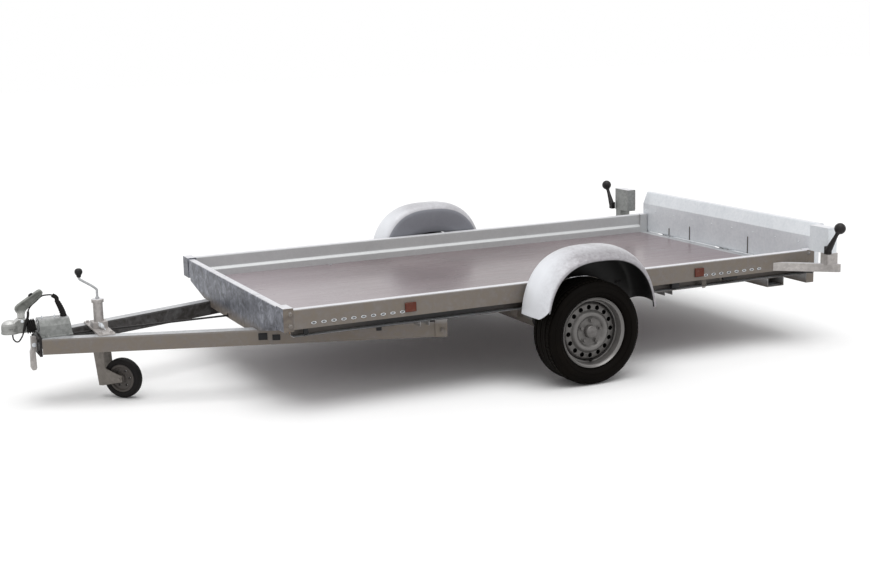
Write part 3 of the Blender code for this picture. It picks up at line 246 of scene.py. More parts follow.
def plate(name, outline, way, edge=0.0, segments=2):
    """Flat outline filled, pulled out along the way, and its sharp edges rounded."""
    piece = drawn(name, outline)
    bpy.ops.mesh.select_all(action="SELECT")
    bpy.ops.mesh.edge_face_add()
    bpy.ops.mesh.extrude_region_move(TRANSFORM_OT_translate={"value": Vector(way)})
    closed_up()
    if edge:
        eased(piece, edge, segments)
    return piece


def eased(piece, width, segments=2):
    """Rounds the sharp edges of the piece."""
    choose(piece)
    bpy.ops.object.mode_set(mode="EDIT")
    bpy.ops.mesh.select_mode(type="EDGE")
    bpy.ops.mesh.select_all(action="DESELECT")
    bpy.ops.mesh.edges_select_sharp(sharpness=SHARP_EDGE)
    bpy.ops.mesh.bevel(offset=width, segments=segments, affect="EDGES")
    bpy.ops.object.mode_set(mode="OBJECT")


def applied(piece, kind, **settings):
    """Adds a modifier with these settings and applies it."""
    choose(piece)
    modifier = piece.modifiers.new(kind.lower(), kind)
    for setting, value in settings.items():
        setattr(modifier, setting, value)
    bpy.ops.object.modifier_apply(modifier=modifier.name)


def cut(piece, tool, operation="DIFFERENCE"):
    """Cuts the tool out of the piece, or joins it on, and removes the tool."""
    applied(piece, "BOOLEAN", operation=operation, solver="EXACT", object=tool)
    bpy.data.objects.remove(tool, do_unlink=True)


def joined(name, pieces):
    """The pieces as one, with this name."""
    choose(pieces[0])
    for piece in pieces:
        piece.select_set(True)
    bpy.ops.object.join()
    piece = bpy.context.object
    piece.name = name
    piece.data.name = name
    return piece


def repeated(name, piece, places):
    """Copies of the piece, each put in place by its matrix, joined as one; the first is used up."""
    copies = []
    for place in places:
        choose(piece)
        bpy.ops.object.duplicate()
        copy = bpy.context.object
        copy.matrix_world = place
        bpy.ops.object.transform_apply(location=True, rotation=True, scale=True)
        copies.append(copy)
    bpy.data.objects.remove(piece, do_unlink=True)
    return joined(name, copies)


def facing(place, way, twist=0.0):
    """Matrix that stands a piece modelled along +Z at this place, along this way."""
    turn = Vector(way).to_track_quat("Z", "Y").to_matrix().to_4x4()
    return Matrix.Translation(Vector(place)) @ turn @ Matrix.Rotation(twist, 4, "Z")


def spread_round(centre, axis, radius, count, start=0.0):
    """Matrices that stand pieces on a circle about the axis, each along it."""
    along = Vector(axis).normalized()
    out = along.orthogonal().normalized() * radius
    turns = [Matrix.Rotation(start + 2 * math.pi * i / count, 3, along) for i in range(count)]
    return [facing(Vector(centre) + turn @ out, axis) for turn in turns]


def punched(piece, radius, places):
    """Punches a round hole through the piece at each place."""
    choose()
    bpy.ops.mesh.primitive_cylinder_add(vertices=20, radius=radius, depth=0.05)
    cut(piece, repeated("punches", named("punch"), places))


def fitted(piece, body, finish, angle=30.0, replaces=()):
    """Smooths the piece, gives it its finish, and lets it ride on its body."""
    choose(piece)
    bpy.ops.object.transform_apply(location=True, rotation=True, scale=True)
    bpy.ops.object.shade_smooth_by_angle(angle=math.radians(angle))
    slot, material = FINISHES[finish]
    piece.data.materials.clear()
    piece.data.materials.append(material)
    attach(piece, body)
    if replaces:
        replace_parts(piece, *replaces)
    return piece


def paired(piece, body, finish, angle=30.0, replaces=()):
    """Fits the left piece, and its mirrored copy, with its own mesh, on the right."""
    fitted(piece, body, finish, angle, replaces)
    choose(piece)
    bpy.ops.object.duplicate()
    copy = bpy.context.object
    name, body, *replaces = [word.replace("left", "right") for word in (piece.name, body, *replaces)]
    copy.name = name
    copy.data.name = name
    if "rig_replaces" in copy:
        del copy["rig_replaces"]
    copy.parent = None
    copy.scale = (1, -1, 1)
    bpy.ops.object.transform_apply(location=True, rotation=True, scale=True)
    bpy.ops.object.mode_set(mode="EDIT")
    bpy.ops.mesh.select_all(action="SELECT")
    bpy.ops.mesh.normals_make_consistent(inside=False)
    bpy.ops.object.mode_set(mode="OBJECT")
    fitted(copy, body, finish, angle, replaces)


# Finishes

def node(tree, kind, links=(), **settings):
    """Adds a shader node, sets its properties, and fills its inputs by name or number."""
    made = tree.nodes.new("ShaderNode" + kind)
    for setting, value in settings.items():
        setattr(made, setting, value)
    for key, value in dict(links).items():
        if isinstance(value, bpy.types.NodeSocket):
            tree.links.new(value, made.inputs[key])
        else:
            made.inputs[key].default_value = value
    return made


def noise(tree, where, scale, detail=4.0, rough=0.55, twist=0.0):
    """Cloudy noise from 0 to 1."""
    fields = {"Vector": where, "Scale": scale, "Detail": detail, "Roughness": rough, "Distortion": twist}
    return node(tree, "TexNoise", fields).outputs["Fac"]


def ramp(tree, value, stops):
    """Colour ramp of (position, grey or colour) stops."""
    made = node(tree, "ValToRGB", {"Fac": value})
    while len(made.color_ramp.elements) < len(stops):
        made.color_ramp.elements.new(0.5)
    for element, (position, colour) in zip(made.color_ramp.elements, stops):
        if isinstance(colour, (int, float)):
            colour = (colour, colour, colour)
        element.position = position
        element.color = (*colour, 1.0)
    return made.outputs["Color"]


def blended(tree, amount, first, second):
    """Mix of two colours by an amount that may be a socket."""
    made = node(tree, "Mix", data_type="RGBA")
    fields = ((0, amount), (6, first), (7, second))
    for key, value in fields:
        if isinstance(value, bpy.types.NodeSocket):
            tree.links.new(value, made.inputs[key])
        elif key:
            made.inputs[key].default_value = (*value, 1.0)
        else:
            made.inputs[key].default_value = value
    return made.outputs[2]


def worked(tree, operation, first, second=0.0, third=0.0):
    """One step of arithmetic on sockets or numbers."""
    return node(tree, "Math", {0: first, 1: second, 2: third}, operation=operation).outputs[0]


def times(tree, product, *others):
    """Product of sockets and numbers."""
    for value in others:
        product = worked(tree, "MULTIPLY", product, value)
    return product


def apart(tree, vector):
    """The three parts of a vector."""
    return tuple(node(tree, "SeparateXYZ", {"Vector": vector}).outputs)


def facing_parts(tree):
    """The three parts of the surface's normal."""
    return apart(tree, node(tree, "TexCoord").outputs["Normal"])


def from_wheel(tree, where):
    """Way ahead of the wheel's axis, place across, way above the axis, and distance from it."""
    x, y, z = apart(tree, where)
    ahead = worked(tree, "SUBTRACT", x, WHEEL.x)
    above = worked(tree, "SUBTRACT", z, WHEEL.z)
    squares = worked(tree, "MULTIPLY_ADD", ahead, ahead, times(tree, above, above))
    return ahead, y, above, worked(tree, "SQRT", squares)


def scaled(tree, value, low, high, to_low=0.0, to_high=1.0):
    """The value brought from one range to another, held at its ends."""
    fields = {"Value": value, "From Min": low, "From Max": high, "To Min": to_low, "To Max": to_high}
    return node(tree, "MapRange", fields, clamp=True).outputs["Result"]


def shader_of(material):
    """The material's own shader node."""
    return material.node_tree.nodes["Principled BSDF"]


def start_finish(name, metallic=0.0, specular=0.5, **sockets):
    """A new material with its uniform values on the shader's own sockets, its tree and the place in it."""
    material = bpy.data.materials.new(name)
    material.use_nodes = True
    shader = shader_of(material)
    shader.inputs["Metallic"].default_value = metallic
    shader.inputs["Specular IOR Level"].default_value = specular
    for socket, value in sockets.items():
        shader.inputs[socket.replace("_", " ").title()].default_value = value
    tree = material.node_tree
    return material, tree, node(tree, "TexCoord").outputs["Object"]


def dress(material, colour, rough, bump=None, strength=0.2, distance=0.001, round_edges=0.0):
    """Wires colour, roughness and bump into the material's shader."""
    tree = material.node_tree
    shader = shader_of(material)
    tree.links.new(colour, shader.inputs["Base Color"])
    tree.links.new(rough, shader.inputs["Roughness"])
    normal = None
    if round_edges:
        normal = node(tree, "Bevel", {"Radius": round_edges}, samples=4).outputs["Normal"]
    if bump:
        fields = {"Strength": strength, "Distance": distance, "Height": bump}
        if normal:
            fields["Normal"] = normal
        normal = node(tree, "Bump", fields).outputs["Normal"]
    if normal:
        tree.links.new(normal, shader.inputs["Normal"])
    return material


def zinc_finish(name, light, dark, metallic=0.35, cover=1.0, spots=0.0):
    """Hot-dip zinc: clouds, crystals, a painted highlight on faces that look up, a brown-grey road film outside
    and below, and painted shade: near black on inward faces where the film lies, and dark in the step under the
    side rails.
    """
    material, tree, where = start_finish(name, metallic)
    x, y, z = apart(tree, where)
    _, across, up = facing_parts(tree)
    clouds = noise(tree, where, 3.2, 6.0, 0.6, 0.6)
    patches = noise(tree, where, 22.0, 4.0, 0.5, 1.2)
    crystals = node(tree, "TexVoronoi", {"Vector": where, "Scale": 75.0, "Randomness": 1.0}).outputs["Color"]
    crystal = node(tree, "SeparateColor", {"Color": crystals}).outputs[0]
    tone = worked(tree, "MULTIPLY_ADD", crystal, 0.16, times(tree, clouds, 0.70))
    tone = worked(tree, "MULTIPLY_ADD", patches, 0.35, tone)
    colour = blended(tree, scaled(tree, tone, 0.34, 0.84), dark, light)
    if spots:
        flecks = noise(tree, where, 15.0, 6.0, 0.72, 1.4)
        colour = blended(tree, scaled(tree, flecks, 0.53, 0.72, 0.0, spots), colour, (0.52, 0.54, 0.62))
        colour = blended(tree, scaled(tree, flecks, 0.50, 0.36, 0.0, spots), colour, (0.030, 0.031, 0.040))
    aside = worked(tree, "ABSOLUTE", y)
    outward = times(tree, across, worked(tree, "SIGN", y))
    # The walls that enclose the deck stay lighter
    inside = times(
        tree, scaled(tree, aside, RAIL_HIGH.y - 0.002, RAIL_HIGH.y - 0.006),
        scaled(tree, z, DECK_LOW.z, DECK_HIGH.z),
        scaled(tree, aside, GATE_HIGH.y - 0.060, GATE_HIGH.y - 0.050), scaled(tree, outward, -0.2, -0.5),
    )
    colour = blended(tree, times(tree, inside, 0.75), colour, (0.60, 0.615, 0.615))
    # Road film on the outer sides and on what lies below the deck, with painted shade near black on its faces that
    # look inward
    outside = times(
        tree, scaled(tree, aside, RAIL_HIGH.y - 0.006, RAIL_HIGH.y - 0.002),
        scaled(tree, aside, RAIL_HIGH.y + 0.014, RAIL_HIGH.y + 0.010),
    )
    below = scaled(tree, z, DECK_LOW.z - 0.004, DECK_LOW.z - 0.050)
    covered = worked(tree, "MAXIMUM", times(tree, worked(tree, "ABSOLUTE", across), outside), below)
    upright = scaled(tree, up, 0.75, 0.25)
    covered = times(tree, covered, upright, scaled(tree, patches, 0.28, 0.62, 0.78 * cover, cover))
    film_and_painted_light = blended(tree, scaled(tree, patches, 0.35, 0.65), (0.150, 0.122, 0.100), (0.205, 0.176, 0.146))
    # Painted shade: faces that look inward, inside the film's mask, made near black
    film_and_painted_light = blended(tree, scaled(tree, outward, -0.3, -0.7, 0.0, 0.88), film_and_painted_light, (0.028, 0.026, 0.026))
    colour = blended(tree, covered, colour, film_and_painted_light)
    # Painted highlight: faces that look up, between the deck and the rail tops, made near white
    painted_top_light = times(
        tree, scaled(tree, up, 0.80, 0.97), scaled(tree, patches, 0.2, 0.6, 0.7, 1.0),
        scaled(tree, z, DECK_HIGH.z, RAIL_HIGH.z - 0.004),
    )
    colour = blended(tree, painted_top_light, colour, (0.76, 0.76, 0.79))
    # Painted shade in the step under the side rails, darkest just ahead of the wheel
    step = times(
        tree, scaled(tree, z, RAIL_HIGH.z - 0.0935, RAIL_HIGH.z - 0.0955),
        scaled(tree, z, DECK_LOW.z - 0.005, DECK_LOW.z - 0.002),
        scaled(tree, aside, RAIL_LOW.y - 0.060, RAIL_LOW.y - 0.010),
        scaled(tree, aside, RAIL_HIGH.y - 0.0005, RAIL_HIGH.y - 0.0015), scaled(tree, outward, 0.0, 0.2),
    )
    ahead = scaled(tree, x, WHEEL.x + 1.30, WHEEL.x + 1.05)
    behind = scaled(tree, x, WHEEL.x + 0.30, WHEEL.x + 0.55)
    shade = blended(tree, times(tree, ahead, behind), (0.090, 0.076, 0.064), (0.018, 0.016, 0.015))
    colour = blended(tree, times(tree, step, 0.94), colour, shade)
    rough = scaled(tree, clouds, 0.3, 0.75, 0.36, 0.54)
    rough = worked(tree, "MULTIPLY_ADD", covered, 0.14, rough)
    height = worked(tree, "MULTIPLY_ADD", patches, 2.5, noise(tree, where, 260.0, 3.0))
    return dress(material, colour, rough, height, 0.18, 0.0006, 0.0012)


def deck_finish():
    """Brown phenolic film on plywood: printed wire mesh, scuffs, a painted reflection lightening it towards the
    front and rear ends, and cut edges with their layers.
    """
    material, tree, where = start_finish("deck_film", 0.0, coat_weight=0.35, coat_roughness=0.16)
    clouds = noise(tree, where, 1.3, 5.0, 0.6, 0.8)
    stretched = node(tree, "Mapping", {"Vector": where, "Scale": (2.0, 26.0, 26.0)}).outputs["Vector"]
    streaks = noise(tree, stretched, 2.2, 5.0, 0.62)
    film_and_painted_light = blended(tree, scaled(tree, clouds, 0.35, 0.65), (0.118, 0.082, 0.088), (0.175, 0.126, 0.134))
    film_and_painted_light = blended(tree, scaled(tree, streaks, 0.45, 0.75, 0.0, 0.30), film_and_painted_light, (0.265, 0.215, 0.225))
    x = apart(tree, where)[0]
    # Painted reflection: the film lightened towards the front end, and a little towards the rear end
    ahead = scaled(tree, x, DECK_LOW.x + 1.9, DECK_HIGH.x, 0.0, 0.75)
    behind = scaled(tree, x, DECK_LOW.x + 1.1, DECK_LOW.x, 0.0, 0.20)
    film_and_painted_light = blended(tree, worked(tree, "ADD", ahead, behind), film_and_painted_light, (0.37, 0.315, 0.345))
    layers = node(tree, "TexWave", {"Vector": where, "Scale": 110.0, "Distortion": 0.5}, bands_direction="Z")
    veneer = ramp(tree, layers.outputs["Fac"], ((0.0, (0.21, 0.11, 0.055)), (1.0, (0.42, 0.27, 0.15))))
    flat = scaled(tree, worked(tree, "ABSOLUTE", facing_parts(tree)[2]), 0.4, 0.6)
    colour = blended(tree, flat, veneer, film_and_painted_light)
    warp, weft = [
        node(tree, "TexWave", {"Vector": where, "Scale": 95.0}, bands_direction=way).outputs["Fac"]
        for way in ("X", "Y")
    ]
    mesh = worked(tree, "MAXIMUM", warp, weft)
    rough = scaled(tree, streaks, 0.3, 0.7, 0.24, 0.44)
    return dress(material, colour, rough, worked(tree, "MULTIPLY_ADD", streaks, 0.6, mesh), 0.10, 0.0006)


def rubber_finish(name, colour, dusty):
    """Black rubber with dust in its low places."""
    material, tree, where = start_finish(name, 0.0, 0.2)
    dust = noise(tree, where, 30.0, 5.0, 0.62)
    shade = blended(tree, scaled(tree, dust, 0.45, 0.75, 0.0, 0.5), colour, dusty)
    gloss = scaled(tree, dust, 0.3, 0.7, 0.60, 0.82)
    return dress(material, shade, gloss, noise(tree, where, 600.0, 2.0), 0.12, 0.0004)


def tyre_finish():
    """Tyre rubber: dark side walls with fine turned rings, and a greyer tread."""
    material, tree, where = start_finish("tyre_rubber", 0.0, 0.06)
    radius = from_wheel(tree, where)[3]
    rings = worked(tree, "SINE", times(tree, radius, 2 * math.pi / RING_PITCH))
    dust = noise(tree, where, 9.0, 6.0, 0.65)
    dusty = scaled(tree, dust, 0.42, 0.8, 0.0, 0.6)
    shade = blended(tree, dusty, (0.0030, 0.0022, 0.0016), (0.010, 0.008, 0.006))
    tread = scaled(tree, radius, 0.2560, 0.2600)
    shade = blended(tree, times(tree, tread, 0.5), shade, (0.014, 0.012, 0.010))
    rough = scaled(tree, dust, 0.3, 0.7, 0.55, 0.80)
    wall = times(tree, worked(tree, "SUBTRACT", 1.0, tread), 0.4)
    height = worked(tree, "MULTIPLY_ADD", rings, wall, noise(tree, where, 500.0, 2.0))
    return dress(material, shade, rough, height, 0.22, 0.0006)


def rim_finish():
    """Silver rim paint with brake dust in the dish, and painted shade near black behind the disc and in the
    barrel.
    """
    material, tree, where = start_finish("rim_silver", 0.45, coat_weight=0.12, coat_roughness=0.2)
    _, y, _, radius = from_wheel(tree, where)
    aside = worked(tree, "ABSOLUTE", y)
    dust = noise(tree, where, 26.0, 5.0, 0.6)
    depth = scaled(tree, aside, WHEEL.y + 0.058, WHEEL.y + 0.020, 0.0, 0.75)
    grime = times(tree, depth, scaled(tree, dust, 0.35, 0.65, 0.45, 1.0))
    colour = blended(tree, grime, (0.190, 0.182, 0.176), (0.042, 0.037, 0.033))
    dark = 0.0
    # Distance outwards from the wheel's middle, and radius, below which painted shade makes the rim near black
    for outward, reach in ((0.0275, 0.1365), (0.0175, 0.1490), (-0.020, 0.1620)):
        inner = worked(tree, "LESS_THAN", aside, WHEEL.y + outward)
        dark = worked(tree, "MAXIMUM", dark, times(tree, inner, worked(tree, "LESS_THAN", radius, reach)))
    colour = blended(tree, dark, colour, (0.006, 0.005, 0.005))
    rough = worked(tree, "MULTIPLY_ADD", grime, 0.25, 0.30)
    return dress(material, colour, rough, noise(tree, where, 700.0, 2.0), 0.05, 0.0003, 0.0010)


def guard_finish():
    """Pale zinc sheet of the mudguards, mottled, with a painted highlight on the faces towards the nose, painted
    shade near black on the faces towards the wheel, and mid grey on the inner wall's face towards the bed.
    """
    material, tree, where = start_finish("guard_zinc", 0.15, 0.25)
    ahead, y, above, radius = from_wheel(tree, where)
    forward, across, up = facing_parts(tree)
    aside = worked(tree, "ABSOLUTE", y)
    clouds = noise(tree, where, 7.0, 6.0, 0.62, 1.0)
    freckles = noise(tree, where, 60.0, 4.0, 0.6)
    colour = blended(tree, scaled(tree, clouds, 0.32, 0.68), (0.46, 0.455, 0.475), (0.62, 0.62, 0.65))
    colour = blended(tree, scaled(tree, freckles, 0.50, 0.80, 0.0, 0.45), colour, (0.38, 0.36, 0.38))
    # Painted highlight: faces that look towards the nose made near white
    front = scaled(tree, forward, 0.20, 0.75)
    colour = blended(tree, times(tree, front, 0.9), colour, (0.88, 0.90, 0.94))
    rolled = times(
        tree, scaled(tree, aside, RAIL_HIGH.y + 0.150, RAIL_HIGH.y + 0.215),
        scaled(tree, freckles, 0.30, 0.70, 0.50, 0.95), scaled(tree, front, 0.0, 1.0, 1.0, 0.3),
    )
    colour = blended(tree, rolled, colour, (0.285, 0.270, 0.285))
    # The flat inner wall and the underside: painted shade near black on faces towards the wheel, mid grey on the
    # wall towards the bed
    wall = scaled(tree, aside, RAIL_HIGH.y + 0.0185, RAIL_HIGH.y + 0.0165)
    outward = times(tree, across, worked(tree, "SIGN", y))
    away = worked(tree, "MULTIPLY_ADD", forward, ahead, times(tree, up, above))
    inner = scaled(tree, worked(tree, "DIVIDE", away, radius), -0.10, -0.30)
    inner = worked(tree, "MAXIMUM", inner, times(tree, wall, scaled(tree, outward, 0.3, 0.6)))
    to_bed = times(tree, wall, scaled(tree, outward, -0.3, -0.6))
    colour = blended(tree, times(tree, to_bed, 0.85), colour, (0.205, 0.215, 0.245))
    colour = blended(tree, times(tree, inner, 0.98), colour, (0.008, 0.007, 0.006))
    rough = scaled(tree, freckles, 0.3, 0.7, 0.32, 0.50)
    return dress(material, colour, rough, worked(tree, "MULTIPLY_ADD", clouds, 3.0, freckles), 0.14, 0.0008)


def plastic_finish(name, colour, rough):
    """Moulded plastic with a fine grain."""
    material, tree, where = start_finish(name, 0.0, 0.3)
    scuffs = noise(tree, where, 45.0, 5.0, 0.6)
    pale = tuple(0.02 + 1.5 * c for c in colour)
    shade = blended(tree, scaled(tree, scuffs, 0.5, 0.8, 0.0, 0.35), colour, pale)
    gloss = scaled(tree, scuffs, 0.3, 0.7, rough - 0.08, rough + 0.1)
    return dress(material, shade, gloss, noise(tree, where, 900.0, 2.0), 0.10, 0.0003, 0.0008)


def cast_finish(name, light, dark, top, foot=0.0):
    """Zinc-plated cast steel, a little stained, with a painted highlight on faces that look up, and brighter at
    its foot if asked.
    """
    material, tree, where = start_finish(name, 0.45)
    stains = noise(tree, where, 18.0, 6.0, 0.62, 0.8)
    colour = blended(tree, scaled(tree, stains, 0.32, 0.70), dark, light)
    # Painted highlight: faces that look up lightened towards the top colour
    colour = blended(tree, scaled(tree, facing_parts(tree)[2], 0.2, 0.9, 0.0, 0.6), colour, top)
    low = scaled(tree, apart(tree, where)[2], NECK_TOP + 0.042, NECK_TOP + 0.020, 0.0, foot)
    colour = blended(tree, low, colour, (0.62, 0.62, 0.60))
    rough = scaled(tree, stains, 0.3, 0.7, 0.52, 0.36)
    return dress(material, colour, rough, noise(tree, where, 420.0, 4.0, 0.6), 0.20, 0.0006, 0.0012)


def lens_finish(name, colour, glow):
    """Coloured lens over a ribbed reflector."""
    material, tree, where = start_finish(name, 0.0, 0.25, coat_weight=0.15, coat_roughness=0.15)
    ribs = node(tree, "TexVoronoi", {"Vector": where, "Scale": 240.0, "Randomness": 0.0}).outputs["Distance"]
    dust = noise(tree, where, 40.0, 4.0)
    shade = blended(tree, scaled(tree, ribs, 0.0, 0.7), glow, colour)
    shade = blended(tree, scaled(tree, dust, 0.5, 0.8, 0.0, 0.3), shade, (0.16, 0.10, 0.07))
    rough = scaled(tree, dust, 0.3, 0.7, 0.14, 0.30)
    return dress(material, shade, rough, ribs, 0.25, 0.0008)


# Slot and material of each finish; dress_nodes gives a slot's first one to its nodes
FINISHES = {
    "zinc": ("galvanised", zinc_finish("galvanised_zinc", (0.60, 0.61, 0.62), (0.33, 0.335, 0.35))),
    "bright_zinc": (
        "galvanised", zinc_finish("bright_zinc", (0.90, 0.93, 0.96), (0.74, 0.78, 0.82), 0.15, 0.0),
    ),
    "dull_zinc": (
        "galvanised", zinc_finish("dull_zinc", (0.22, 0.23, 0.265), (0.085, 0.09, 0.11), spots=0.7),
    ),
    "bare_zinc": (
        "galvanised", zinc_finish("bare_zinc", (0.58, 0.55, 0.53), (0.30, 0.28, 0.27), cover=0.0),
    ),
    "grey_zinc": (
        "galvanised", zinc_finish("grey_zinc", (0.36, 0.37, 0.36), (0.16, 0.165, 0.16), cover=0.0),
    ),
    "brown_zinc": (
        "galvanised", zinc_finish("brown_zinc", (0.27, 0.245, 0.22), (0.14, 0.125, 0.11), cover=0.0),
    ),
    "deck": ("plywood", deck_finish()),
    "rubber": ("rubber", rubber_finish("black_rubber", (0.010, 0.009, 0.009), (0.035, 0.031, 0.028))),
    "plain_rubber": ("rubber", rubber_finish("castor_rubber", (0.008, 0.007, 0.007), (0.022, 0.019, 0.017))),
    "tyre": ("tyre", tyre_finish()),
    "rim": ("rim_paint", rim_finish()),
    "guard": ("guard", guard_finish()),
    "black_plastic": ("black_plastic", plastic_finish("black_plastic", (0.010, 0.010, 0.011), 0.42)),
    "grey_plastic": ("black_plastic", plastic_finish("grey_plastic", (0.088, 0.078, 0.071), 0.45)),
    "black_steel": ("black_steel", plastic_finish("black_enamel", (0.013, 0.011, 0.011), 0.45)),
    "cast": (
        "cast_steel", cast_finish("cast_zinc", (0.42, 0.425, 0.41), (0.17, 0.17, 0.16), (0.80, 0.80, 0.79)),
    ),
    "worn_cast": (
        "cast_steel", cast_finish("worn_cast", (0.19, 0.18, 0.175), (0.075, 0.07, 0.066), (0.27, 0.26, 0.25)),
    ),
    "dark_cast": (
        "cast_steel",
        cast_finish("dark_cast", (0.20, 0.205, 0.19), (0.09, 0.095, 0.085), (0.27, 0.28, 0.26), 0.8),
    ),
    "amber": ("amber", lens_finish("amber_lens", (0.30, 0.080, 0.012), (0.50, 0.150, 0.020))),
    "dark_red": ("amber", lens_finish("dark_red_lens", (0.075, 0.014, 0.006), (0.190, 0.038, 0.016))),
    "red": ("red_lens", lens_finish("red_lens", (0.20, 0.008, 0.008), (0.42, 0.020, 0.015))),
    "clear": ("red_lens", lens_finish("clear_lens", (0.42, 0.42, 0.43), (0.70, 0.70, 0.71))),
}

# Nodes whose finish isn't the usual one of their slot
# Painted shade: the far (right) lamp box and outrigger take darker finishes than their near (left) copies. The
# tailgate's bright zinc is partly new zinc and partly a painted reflection of the sky; the front frame's dull zinc
# is partly dull, dirty zinc and partly painted shade.
NODE_FINISHES = {
    "tailgate": "bright_zinc", "lamp_box_left": "bright_zinc", "lamp_box_right": "grey_zinc",
    "outrigger_left": "bare_zinc", "outrigger_right": "grey_zinc", "front_frame": "dull_zinc",
    "front_cross_member": "dull_zinc", "overrun_housing": "grey_zinc", "nose_stay": "bare_zinc",
    "jockey_clamp": "bare_zinc", "jockey_fork": "brown_zinc", "wheel_hub_left": "black_steel",
    "wheel_hub_right": "black_steel", "trailing_arm_left": "black_steel", "trailing_arm_right": "black_steel",
    "brake_rod": "black_steel",
}


def dress_nodes():
    """Gives each node of the frame the finish of its slot, or its own."""
    usual = {slot: material for slot, material in reversed(FINISHES.values())}
    for row in frame["record"]["subparts"]:
        own = NODE_FINISHES.get(row["node"])
        material = FINISHES[own][1] if own else usual[row["material_slot"]]
        for slot in frame["nodes"][row["node"]].material_slots:
            slot.material = material


# Road wheels

def make_tyres():
    """Tyre with ringed side walls, three grooves and cut shoulder blocks."""
    # Radius, distance from the middle, over the outer half from the bead to the shoulder
    wall = (
        (0.1655, 0.0595), (0.1760, 0.0664), (0.1815, 0.0690), (0.1830, 0.0765), (0.1880, 0.0845),
        (0.1960, 0.0915), (0.2040, 0.0955), (0.2045, 0.0945), (0.2065, 0.0945), (0.2070, 0.0967),
        (0.2140, 0.0974), (0.2230, 0.0968), (0.2320, 0.0944), (0.2325, 0.0932), (0.2345, 0.0926),
        (0.2352, 0.0934), (0.2450, 0.0885), (0.2525, 0.0832), (0.2560, 0.0790),
    )
    # The shoulder's base, then ribs and grooves to the middle
    base = 0.2620 - TREAD_DEPTH
    tread = (
        (base - 0.0008, 0.0715), (base, 0.0460), (0.2555, 0.0440), (0.2555, 0.0380), (0.2622, 0.0370),
        (0.2625, 0.0210), (0.2590, 0.0200), (0.2590, 0.0180), (0.2625, 0.0170), (0.2625, 0.0045),
        (0.2555, 0.0035),
    )
    inside = ((0.2465, 0.0450), (0.2150, 0.0850), (0.1700, 0.0500), (0.1655, 0.0450))
    profile = both_ways(wall + tread)
    profile += [(radius, -along) for radius, along in reversed(inside)] + list(inside)
    tyre = turned("road_tyre_left", ringed(profile), WHEEL, LEFTWARD, TYRE_STEPS)

    def on_shoulder(centre, normal):
        away = centre - WHEEL
        return 0.046 < abs(away.y) < 0.0712 and math.hypot(away.x, away.z) > base - 0.0025

    pick(tyre, "FACE", on_shoulder)
    bpy.ops.mesh.inset(thickness=TREAD_GAP, use_individual=True)
    bpy.ops.mesh.extrude_region_shrink_fatten(TRANSFORM_OT_shrink_fatten={"value": TREAD_DEPTH})
    bpy.ops.object.mode_set(mode="OBJECT")
    paired(tyre, "wheel_left", "tyre", 32, ("tyre_left",))


def make_rims():
    """Pressed rim with a ring of round holes and a dish, wheel bolts, dust cap, valve and brake plate."""
    half = 0.075
    disc = 0.034
    # Radius, distance outwards from the wheel's middle, round the outside and back
    profile = (
        (0.0325, disc), (0.0680, disc), (0.0735, disc + 0.0035), (0.0790, disc + 0.0105),
        (0.0845, disc + 0.0135), (0.0925, disc + 0.0138), (0.0985, disc + 0.0105),
        (0.1045, disc + 0.0015), (0.1090, disc - 0.0025), (0.1340, disc - 0.0040),
        (0.1405, disc - 0.0080), (0.1460, disc - 0.0175), (0.1500, disc - 0.0195),
        (0.1560, disc - 0.0100), (0.1600, half - 0.0230), (0.1640, half - 0.0110),
        (0.1690, half - 0.0085), (0.1730, half - 0.0020), (0.1755, half), (0.1780, half - 0.0025),
        (0.1775, half - 0.0060), (0.1690, half - 0.0095), (0.1652, half - 0.0140), (0.1652, 0.0330),
        (0.1510, 0.0290), (0.1510, -0.0220), (0.1650, -0.0380), (0.1650, -0.0600), (0.1775, -0.0690),
        (0.1750, -half), (0.1600, -0.0650), (0.1600, -0.0340), (0.1460, -0.0240), (0.1460, 0.0050),
        (0.1320, disc - 0.0110), (0.1080, disc - 0.0090), (0.0960, disc + 0.0050),
        (0.0830, disc + 0.0060), (0.0690, disc - 0.0050), (0.0325, disc - 0.0050),
    )
    rim = turned("steel_rim_left", ringed(profile), WHEEL, LEFTWARD, RIM_STEPS)
    middle = WHEEL + LEFTWARD * disc
    punched(rim, RIM_HOLE_RADIUS, spread_round(middle, LEFTWARD, RIM_HOLE_CIRCLE, RIM_HOLES, 0.027))
    paired(rim, "wheel_left", "rim", 32, ("rim_left",))

    bolt = hex_bolt("wheel_bolt", 0.0095, 0.013, 0.0135)
    places = spread_round(middle, LEFTWARD, WHEEL_BOLT_CIRCLE, WHEEL_BOLTS, 0.4)
    paired(repeated("wheel_bolts_left", bolt, places), "wheel_left", "worn_cast")

    profile = (
        (0.0, 0.0242), (0.012, 0.0240), (0.022, 0.0234), (0.0285, 0.0220), (0.0315, 0.0185), (0.0322, 0.0140),
        (0.0322, 0.0010), (0.0300, 0.0002),
    )
    cap = turned("dust_cap_left", profile, middle, LEFTWARD, 40)
    paired(cap, "wheel_left", "worn_cast")

    profile = ringed((
        (0.0300, -0.0880), (0.1430, -0.0880), (0.1500, -0.0850), (0.1500, -0.0400), (0.1470, -0.0400),
        (0.1465, -0.0840), (0.0300, -0.0845),
    ))
    shield = turned("brake_plate_left", profile, WHEEL, LEFTWARD, 48)
    paired(shield, "chassis", "black_steel")

    stem = ((0.0, 0.030), (0.0042, 0.0295), (0.0046, 0.020), (0.0050, 0.016), (0.0062, 0.012), (0.0066, 0.0))
    foot = WHEEL + Vector((0.0, 0.036, -0.148))
    valve = turned("tyre_valve_left", stem, foot, Vector((0.0, 0.92, 0.38)), 14)
    paired(valve, "wheel_left", "rubber")


